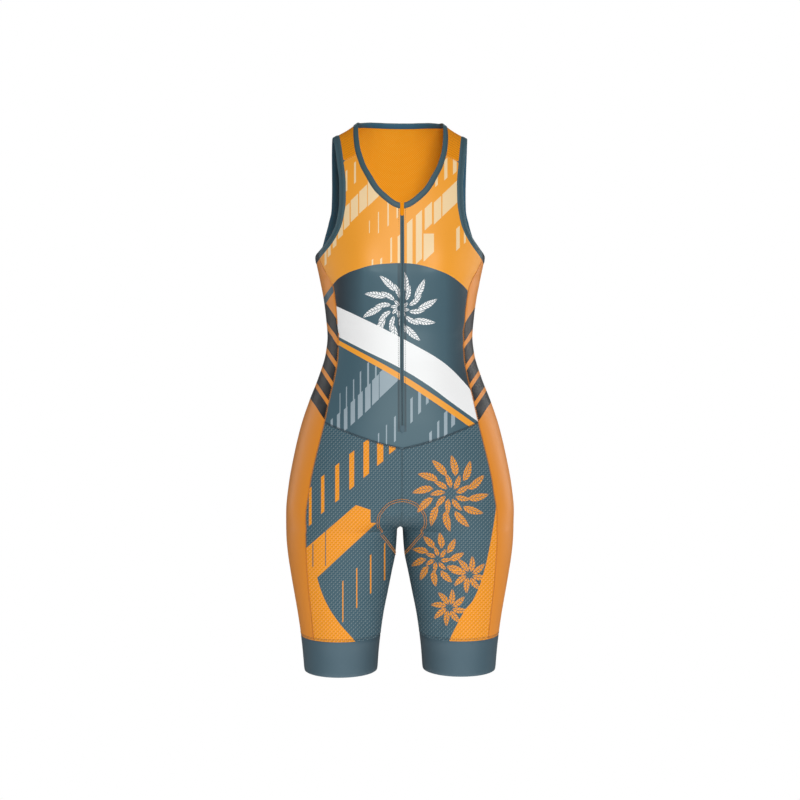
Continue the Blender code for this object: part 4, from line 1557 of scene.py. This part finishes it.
def shaded_tape_ends(finish):
    """Ribbed, with painted shade where a tape turns in under the arm, away from the light."""
    across, _ = finish.place("chart")
    finish.paint((abs(across) > END_ACROSS) * 0.75, SHADED_SLATE)
    ribs(finish)


tape_knit = plain_knit("tape_knit", TAPE, 0.5, shaded_tape_ends, Specular_IOR_Level=0.3)
tape_inside = plain_knit("tape_inside", TAPE_INSIDE, 0.6, shaded_tape_ends, Specular_IOR_Level=0.2)
print("finishes:", len(bpy.data.materials))

# %% Lay the panels
def halves(grid, centre_first=True):
    """One grid across the centre line from its right half, whose first or last column lies on it."""
    if centre_first:
        return np.concatenate([mirrored(grid), grid[:, 1:]], axis=1)
    return np.concatenate([grid, mirrored(grid)[:, 1:]], axis=1)


def both_sides(name, grid, look, chart, first=True, slot="", **options):
    """The right panel and its mirror image. The cloth's run starts at the first or the last column."""
    points, normals = form(grid), outward(grid)
    made = []
    for side, turn in (("right", lambda a: a), ("left", mirrored)):
        spots = turn(points)
        begin = 0 if (side == "right") == first else -1
        maps = {"chart": chart(spots, begin), "cloth": cloth_map(spots, begin)}
        piece = lay(f"{name}_{side}", spots, turn(normals), (look, inside), maps, **options)
        made.append(piece)
    return made


def centred(name, grid, look, chart, centre_first, slot, **options):
    half = form(grid), outward(grid)
    points, normals = (halves(part, centre_first) for part in half)
    maps = {"chart": chart(points), "cloth": cloth_map(points, points.shape[1] // 2)}
    piece = lay(name, points, normals, (look, inside), maps, **options)
    return piece


bodice_grid = front_grid()
bodice_keep = np.ones((len(bodice_grid) - 1, 2 * (FRONT_COLUMNS + 1)), bool)
bodice_keep[SLIT_FOOT_ROWS:, FRONT_COLUMNS : FRONT_COLUMNS + 2] = False
front_cloth = centred(
    "front_bodice", bodice_grid, front_print, sheet_map, True, "printed_knit", keep=bodice_keep
)
back_cloth = centred("back_bodice", back_grid(), back_print, flat_map, False, "printed_knit")
yoke_cloths = both_sides("shoulder_yoke", walked_yoke(), mesh_knit, flat_map, slot="mesh_knit")
side_cloths = both_sides("side_panel", side_grid(), side_print, sheet_map, slot="side_knit")
leg_front_cloths = both_sides("leg_front", leg_front_grid(), leg_print, sheet_map, slot="dimpled_knit")
leg_back_cloths = both_sides(
    "leg_back", leg_back_grid(), leg_back_print, flat_map, False, slot="dimpled_knit"
)
print("front cloth faces:", len(front_cloth.data.polygons))

# %% [markdown]
# ## Bindings and gripper bands
# The open edges of the top are bound with a folded tape, round along its outer fold. The legs end in
# wide raw-cut gripper bands, which stand a little proud of the panel above.

# %% Binding tape
TAPE_COLUMNS = 8
TAPE_PROUD = 0.95
TAPE_ROUND = 0.75
TAPE_WALL = 2.5
TAPE_OVER = 0.17


TAPE_TURNED = 1.0


def taped(name, free, edge, free_normal, edge_normal, turned=0.0, closed=""):
    """A tape round in section, from an open edge to its seam, and further on the inside."""
    share = np.linspace(0, 1, TAPE_COLUMNS + 1)[None, :, None]
    reached = share * (1 + TAPE_OVER) - TAPE_OVER
    points = edge[:, None] * (1 - reached) + free[:, None] * reached
    normals = unit(edge_normal[:, None] * (1 - share) + free_normal[:, None] * share)
    swell = TAPE_ROUND * np.sqrt(np.clip(1 - (2 * share - 1) ** 4, 0, 1)) - TAPE_ROUND
    outer = points + (TAPE_PROUD + swell) * normals
    inside_share = share * (1 + turned) - turned
    inner = edge[:, None] * (1 - inside_share) + free[:, None] * inside_share
    inner = inner - (TAPE_WALL - TAPE_PROUD + swell) * normals
    maps = {"chart": flat_map(points), "cloth": cloth_map(points)}
    piece = shell(f"{name}_tape", outer, inner, (tape_knit, tape_inside), maps, closed=closed)
    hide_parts(name)
    return piece


def round_trip(line):
    """A line from the zip to the centre back, and on by its mirror image to the zip."""
    return np.concatenate([line, line[-2::-1] * [-1, 1, 1]])


def neck_tape():
    free, edge = fold(seam.neck_free), fold(seam.neck)
    lines = [round_trip(line) for line in (form(free), form(edge), outward(free), outward(edge))]
    return taped("neck_binding", lines[1], lines[0], lines[3], lines[2])


neck = neck_tape()
print("neck tape faces:", len(neck.data.polygons))

# %% Armhole tapes
def armhole_tapes():
    """A closed tape round each armhole, which passes over the side panel's top under the arm."""
    low, low_free = fold(seam.low[1:-1]), fold(seam.low_free[1:-1])
    pace = max(1, len(low) // SIDE_COLUMNS)
    edge = np.concatenate([fold(seam.arm), low[::pace]])
    free = np.concatenate([fold(seam.arm_free), low_free[::pace]])
    lines = [form(edge), form(free), outward(edge), outward(free)]
    made = {}
    for side, flip in (("right", [1, 1, 1]), ("left", [-1, 1, 1])):
        shown = [line * flip for line in lines]
        if side == "left":
            shown = [line[::-1] for line in shown]
        made[side] = taped(f"armhole_binding_{side}", shown[1], shown[0], shown[3], shown[2], TAPE_TURNED, closed="rows")
    return made


arm_tapes = armhole_tapes()

# %% Gripper bands
BAND_PROUD = 0.25
BAND_WALL = 1.0
HEM_ROUND = 0.4


def gripper_bands():
    """Each band is a ring of firm knit, drawn in a little at its seam and its raw lower edge."""
    points, normals = form(hem_grid()), outward(hem_grid())
    draw_in = np.zeros(points.shape[:2])
    draw_in[-1], draw_in[0], draw_in[1] = SEAM_DIP, HEM_ROUND, HEM_ROUND / 4
    outer = points + (BAND_PROUD - draw_in)[..., None] * normals
    inner = points - (BAND_WALL - BAND_PROUD) * normals
    made = []
    for side, turn in (("right", lambda a: a), ("left", mirrored)):
        spots = turn(outer)
        maps = {"chart": sheet_map(spots), "cloth": cloth_map(spots)}
        piece = shell(f"hem_band_{side}_cloth", spots, turn(inner), (band_knit, inside), maps, closed="columns")
        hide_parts(f"hem_band_{side}")
        made.append(piece)
    return made


bands = gripper_bands()
print("band faces:", len(bands[0].data.polygons))

# %% [markdown]
# ## The zip
# A fine coil zip closes the front. Its tape lies sunk between two stitched edges, the coil is a narrow
# ribbed row down the middle, a tab of orange knit covers its top, and a small pointed patch its end.

# %% Zip strip, garage and stop
ZIP_SUNK = 0.45
ZIP_STEPS = 320


def strip(name, spots, outward_at, lift, wall, look, columns):
    """A narrow piece up the front centre line: levels, half widths and how far it stands out."""
    levels, half_widths = spots
    share = np.linspace(-1, 1, columns + 1)
    turn = np.array([[turn_to(abs(s) * half, z) for s in share] for half, z in zip(half_widths, levels)])
    places = np.stack([turn, np.repeat(levels[:, None], columns + 1, 1)], -1)
    flip = np.stack([np.sign(share), 0 * share + 1, 0 * share + 1], -1)
    points, normals = form(places) * flip, outward(places) * flip
    outer = points + (lift + outward_at(share, levels))[..., None] * normals
    maps = {"chart": sheet_map(points), "cloth": cloth_map(points, columns // 2)}
    piece = shell(name, outer, outer - wall * normals, (look,), maps)
    return piece


def zip_tape():
    top = fold(seam.neck_free[0])[1]
    levels = np.linspace(ZIP_END, top, ZIP_STEPS + 1)
    halves_at = np.full(len(levels), ZIP_HALF + 0.25)
    hollow = lambda share, levels: 0.35 * share[None, :] ** 2 - ZIP_SUNK + 0 * levels[:, None]
    piece = strip("zip_tape_cloth", (levels, halves_at), hollow, 0.0, 0.8, tape_knit, 8)
    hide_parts("zip")
    return piece


tape = zip_tape()
print("zip length:", round(float(fold(seam.neck_free[0])[1] - ZIP_END)), "mm")

# %% Garage tab and stop patch
front_print_trim = Finish("trim_knit", 0.8, Base_Color=GARAGE_ORANGE, Specular_IOR_Level=0.15)
slate_trim = Finish("slate_trim", 0.6, Base_Color=SLATE)


def garage():
    top = fold(seam.neck_free[0])[1]
    levels = np.linspace(top - 19.0, top, 25)
    low = np.clip((levels - levels[0]) / 3.0, 0, 1)
    widths = 3.0 * (0.55 + 0.45 * np.sqrt(low))
    crown = lambda share, levels: 0.35 * (1 - share[None, :] ** 4) + 0 * levels[:, None]
    piece = strip("zip_garage_cloth", (levels, widths), crown, 0.95, 0.9, front_print_trim, 8)
    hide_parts("zip_garage")
    return piece


def stop():
    levels = np.linspace(-512.5, -500.0, 20)
    widths = 3.7 * np.clip((levels + 512.5) / 4.2, 0.05, 1)
    crown = lambda share, levels: 0.3 * (1 - share[None, :] ** 4) + 0 * levels[:, None]
    piece = strip("zip_stop_cloth", (levels, widths), crown, 0.95, 0.9, slate_trim, 8)
    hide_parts("zip_stop")
    return piece


tab = garage()
patch = stop()
print("tab and patch:", tab.name, patch.name)

# %% [markdown]
# ## Sewing
# A flat seam on stretch cloth is sewn by four threads at once: two rows of short stitches, and a
# cover thread that zigzags between them. A texture could paint it, but real stitches catch light and
# show at the edge of the cloth. Every stitch here is a tiny spindle, and all the stitches of a seam
# are one mesh, made from one pattern of points.

# %% A mesh of many stitches
STITCH_SIDES = 4
THREAD = 0.34
STITCH_SHAPE = table("along thick", (0, 0.25), (0.2, 0.9), (0.5, 1.0), (0.8, 0.9), (1, 0.25))


def stitches(name, starts, ends, normals, look, slot, thick=THREAD):
    """One mesh of spindles, each from a start to an end, lying on the cloth."""
    turn = np.arange(STITCH_SIDES) * (FULL_TURN / STITCH_SIDES)
    way = unit(ends - starts)
    beside_way = unit(np.cross(normals, way))
    above = np.cross(way, beside_way)
    along, width = STITCH_SHAPE["along"], STITCH_SHAPE["thick"] * thick
    spine = starts[:, None] * (1 - along[None, :, None]) + ends[:, None] * along[None, :, None]
    ring = np.cos(turn)[None, :, None] * beside_way[:, None] + np.sin(turn)[None, :, None] * above[:, None]
    spots = spine[:, :, None] + width[None, :, None, None] * ring[:, None]
    rings = len(along)
    first = np.arange(rings - 1)[:, None] * STITCH_SIDES
    here, after = np.arange(STITCH_SIDES)[None], (np.arange(STITCH_SIDES) + 1)[None] % STITCH_SIDES
    higher = first + STITCH_SIDES
    wall = np.stack([first + here, first + after, higher + after, higher + here], -1)
    last = (rings - 1) * STITCH_SIDES
    caps = [np.arange(STITCH_SIDES)[::-1], last + np.arange(STITCH_SIDES)]
    one = np.concatenate([wall.reshape(-1, 4), caps])
    faces = (one[None] + (np.arange(len(starts)) * rings * STITCH_SIDES)[:, None, None]).reshape(-1, 4)
    mesh = bpy.data.meshes.new(name)
    mesh.from_pydata((spots.reshape(-1, 3) * MM).tolist(), [], faces.tolist())
    mesh.materials.append(look.material)
    mesh.shade_smooth()
    piece = bpy.data.objects.new(name, mesh)
    bpy.context.scene.collection.objects.link(piece)
    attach(piece, "root")
    return piece


def thread_look(name, colour):
    return Finish(name, 0.5, Base_Color=colour, Sheen_Weight=0.1)


dark_thread = thread_look("dark_thread", tone(34, 50, 62))
slate_thread = thread_look("slate_thread", tone(56, 79, 92))
orange_thread = thread_look("orange_thread", tone(214, 132, 36))
leg_thread = thread_look("leg_thread", tone(76, 104, 116))
bright_thread = thread_look("bright_thread", tone(232, 148, 44))
pale_thread = thread_look("pale_thread", tone(248, 186, 104))
print("faces in a stitch:", STITCH_SIDES * (len(STITCH_SHAPE["along"]) - 1) + 2)

# %% Rows of stitches along a line
STITCH = 2.3
STITCH_GAP = 0.7
SEAM_HALF = 1.5
COVER_STEP = 1.5


class Track:
    """A line over the cloth that can be walked by distance: its points and its normals."""

    def __init__(self, places, behind=False, lift=0.0):
        points, normals = form(places), outward(places)
        self.points = creased(points, normals, behind) + lift * normals
        self.normals = normals
        self.travel = unit(np.gradient(self.points, axis=0))
        self.run = lengths(self.points)

    def at(self, distance, aside=0.0):
        """Points and normals this far along, and this far to one side."""
        where = np.interp(distance, self.run, np.arange(len(self.run)))
        points, normals, travel = (pick(line, where) for line in (self.points, self.normals, self.travel))
        return points + np.asarray(aside)[..., None] * unit(np.cross(normals, travel)), unit(normals)

    def row(self, aside, stitch=STITCH, gap=STITCH_GAP, skip=0.0):
        """Starts, ends and normals of a row of stitches at one side of the line."""
        begin = np.arange(skip, self.run[-1] - stitch, stitch + gap)
        start, normal = self.at(begin, np.full(len(begin), aside))
        end, _ = self.at(begin + stitch, np.full(len(begin), aside))
        return start, end, normal

    def cover(self, half=SEAM_HALF, step=COVER_STEP):
        """A zigzag between the two rows."""
        turns = np.arange(step, self.run[-1], step)
        side = np.where(np.arange(len(turns)) % 2, half, -half) * 0.92
        spots, normals = self.at(turns, side)
        return spots[:-1], spots[1:], normals[:-1]


def gathered(rows, flip=False):
    starts, ends, normals = (np.concatenate(part) for part in zip(*rows))
    if flip:
        mirror = np.array([-1.0, 1.0, 1.0])
        starts, ends, normals = starts * mirror, ends * mirror, normals * mirror
    return starts, ends, normals


def sewn(name, rows, look, slot="binding", both=True, thick=THREAD):
    """The right side's rows, and their mirror image as part of the same mesh."""
    sides = [gathered(rows)] + ([gathered(rows, True)] if both else [])
    starts, ends, normals = (np.concatenate(part) for part in zip(*sides))
    return stitches(name, starts, ends, normals, look, slot, thick)


def flat_seam(track, half=SEAM_HALF):
    return [track.row(-half), track.row(half, skip=0.4), track.cover(half)]


print("stitch:", STITCH, "mm")

# %% Seams of the panels
UPON = -0.12


def panel_seams():
    row = LEG_ROWS + HIP_ROWS
    waist = [Track(seam.waist_front, False, UPON), Track(seam.waist_back, True, UPON)]
    sides = [Track(seam.side_front, False, UPON), Track(seam.side_back, True, UPON)]
    yokes = [Track(fold(seam.yoke_front), False, UPON), Track(fold(seam.yoke_back), True, UPON)]
    legs_top = centre_line(seam.waist_front[0][1], 0.0)
    legs_back = centre_line(seam.waist_back[-1][1], 180.0)
    return waist, sides, yokes, Track(legs_top[:LEG_ROWS], None, UPON), (legs_top[LEG_ROWS:], legs_back[LEG_ROWS:])


waist_tracks, side_tracks, yoke_tracks, inseam_track, centre_places = panel_seams()
waist_thread = sewn("waist_stitches", sum((flat_seam(t) for t in waist_tracks), []), dark_thread, "printed_knit")
side_thread = sewn("side_stitches", sum((flat_seam(t, 1.2) for t in side_tracks), []), orange_thread, "side_knit")
yoke_thread = sewn("yoke_stitches", sum(([t.row(-1.4), t.row(1.4)] for t in yoke_tracks), []), pale_thread, "mesh_knit")
inseam_thread = sewn("inseam_stitches", flat_seam(inseam_track, 1.2), slate_thread, "dimpled_knit")
centre_tracks = [Track(centre_places[0], False, UPON), Track(centre_places[1], True, UPON)]
centre_rows = [t.row(aside) for t in centre_tracks for aside in (-1.1, 0.0, 1.1)] + [t.cover(1.1) for t in centre_tracks]
centre_thread = sewn("centre_stitches", centre_rows, leg_thread, "dimpled_knit", both=False)

# %% Pad outline
PAD_EDGE = table(
    "around up",
    (0, -620.5), (2.8, -622), (6.2, -626.5), (8.6, -633), (10.8, -641.5), (12.7, -650.5), (14.3, -659.5),
    (15.4, -668), (15.7, -675), (14.3, -682.5), (12.4, -691), (10.1, -700), (7, -709.5), (1.5, -720),
)
PAD_HALF = 1.8


def smooth_track(rows, behind=False, lift=UPON):
    """A track along a smooth curve through a table's places."""
    steps = np.arange(len(rows["around"]), dtype=float)
    fine = np.linspace(0, steps[-1], DENSE)
    places = np.stack([smooth(steps, rows[key], fine) for key in rows], -1)
    return Track(places, behind, lift)


pad_track = smooth_track(PAD_EDGE, lift=0.45)
pad_rows = [pad_track.row(aside) for aside in (-PAD_HALF, PAD_HALF)]
pad_thread = sewn("pad_stitches", pad_rows, bright_thread, "dimpled_knit", thick=0.72)
print("pad outline:", round(2 * pad_track.run[-1]), "mm of coverstitch")

# %% Stitching of bindings, bands and zip
HEM_STITCH = 1.4


def binding_rows(places, aside, lift):
    track = Track(places, None, lift)
    return [track.row(aside), track.row(aside + 1.9, skip=0.5)]


neck_rows = binding_rows(fold(seam.neck), 0.9, 0.95)
neck_thread = sewn("neck_stitches", neck_rows, dark_thread)
arm_rows = binding_rows(fold(seam.arm), -2.8, 0.95)
arm_thread = sewn("arm_stitches", arm_rows, dark_thread)
ring = np.stack([np.linspace(0, 180, DENSE), np.full(DENSE, HEM_SEAM + HEM_STITCH + 1.0)], -1)
hem_track = Track(ring, False, 0.05)
hem_thread = sewn("hem_stitches", [hem_track.row(0), hem_track.row(1.9, skip=0.4)], dark_thread, "gripper_band")

# %% Teeth and stitching of the zip
COIL = 1.25
COIL_REACH = 1.15
TAPE_EDGE = 5.6


def zip_line(lift):
    top = fold(seam.neck_free[0])[1]
    up = np.linspace(ZIP_END + 2, top - 2, DENSE)
    return Track(np.stack([np.zeros(DENSE), up], -1), False, lift)


def coil_rows(track):
    """A closed coil: a short loop to the left and one to the right, by turns."""
    steps = np.arange(0, track.run[-1] - COIL, COIL / 2)
    side = np.where(np.arange(len(steps)) % 2, 1.0, -1.0)
    start, normal = track.at(steps, -0.15 * side)
    end, _ = track.at(steps + 0.25, COIL_REACH * side)
    return start, end, normal


zip_track = zip_line(0.0)
coil = stitches("zip_coil", *coil_rows(zip_line(-0.1)), slate_thread, "zip_tape", 0.42)
zip_thread = sewn("zip_stitches", [zip_track.row(TAPE_EDGE)], dark_thread, "printed_knit")
print("coil loops:", len(coil.data.polygons) // 18)
# %% [markdown]
# ## The cut of each piece
# Stretch cloth is cut smaller than the body that it goes on. Each sheet's flat size is what shows of
# it, worn, less its stretch: its greatest width, its greatest length, and its area.

STRETCH = 0.94


def worn_area(piece):
    """Square metres of one face of a shell."""
    area = np.empty(len(piece.data.polygons))
    piece.data.polygons.foreach_get("area", area)
    return float(area.sum()) / 2


def declare(piece, width, length, extras=()):
    """Prints a sheet's flat size and area, from its worn width and length in millimetres."""
    flat = (width * STRETCH * MM, length * STRETCH * MM)
    area = min(worn_area(piece) * STRETCH**2, flat[0] * flat[1])
    print(piece.name, [round(1000 * side) for side in flat], "mm,", round(area * 1e4), "sq cm")


def spans(grid):
    """The greatest width and length of a grid of places, walked over the form."""
    points = form(grid)
    across = np.linalg.norm(np.diff(points, axis=1), axis=2).sum(1).max()
    return across, np.linalg.norm(np.diff(points, axis=0), axis=2).sum(0).max()


def declare_pair(pieces, grid, extras=()):
    for piece, more in zip(pieces, (extras, ())):
        declare(piece, *spans(grid), more)


front_span, back_span = spans(bodice_grid), spans(back_grid())
declare(front_cloth, 2 * front_span[0], front_span[1], (waist_thread, zip_thread, tape, coil, tab, patch))
declare(back_cloth, 2 * back_span[0], back_span[1])
declare_pair(yoke_cloths, walked_yoke(), (yoke_thread,))
declare_pair(side_cloths, side_grid(), (side_thread,))
declare_pair(leg_front_cloths, leg_front_grid(), (pad_thread, centre_thread, inseam_thread))
declare_pair(leg_back_cloths, leg_back_grid())
declare_pair(bands, hem_grid(), (hem_thread,))

neck_run = 2 * lengths(form(fold(seam.neck_free)))[-1]
arm_run = lengths(form(fold(seam.arm_free)))[-1] + lengths(form(seam.armpit_free))[-1]
neck_width = BINDING_WIDTH * (1 + TAPE_OVER) + TAPE_WALL
arm_width = neck_width + BINDING_WIDTH * TAPE_TURNED / 2
declare(neck, neck_width, neck_run, (neck_thread,))
for side, extras in (("right", (arm_thread,)), ("left", ())):
    declare(arm_tapes[side], arm_width, arm_run, extras)

# %% [markdown]
# ## How much the model grew
# The last lines measure the two boxes, of the imported model and of the dressed one, and print how much it grew.

# %% Finish
dressed_low, dressed_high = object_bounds()
growth = zip(cad_high - cad_low, dressed_high - dressed_low)
print("grew by:", [round(1000 * (b - a), 1) for a, b in growth], "mm")
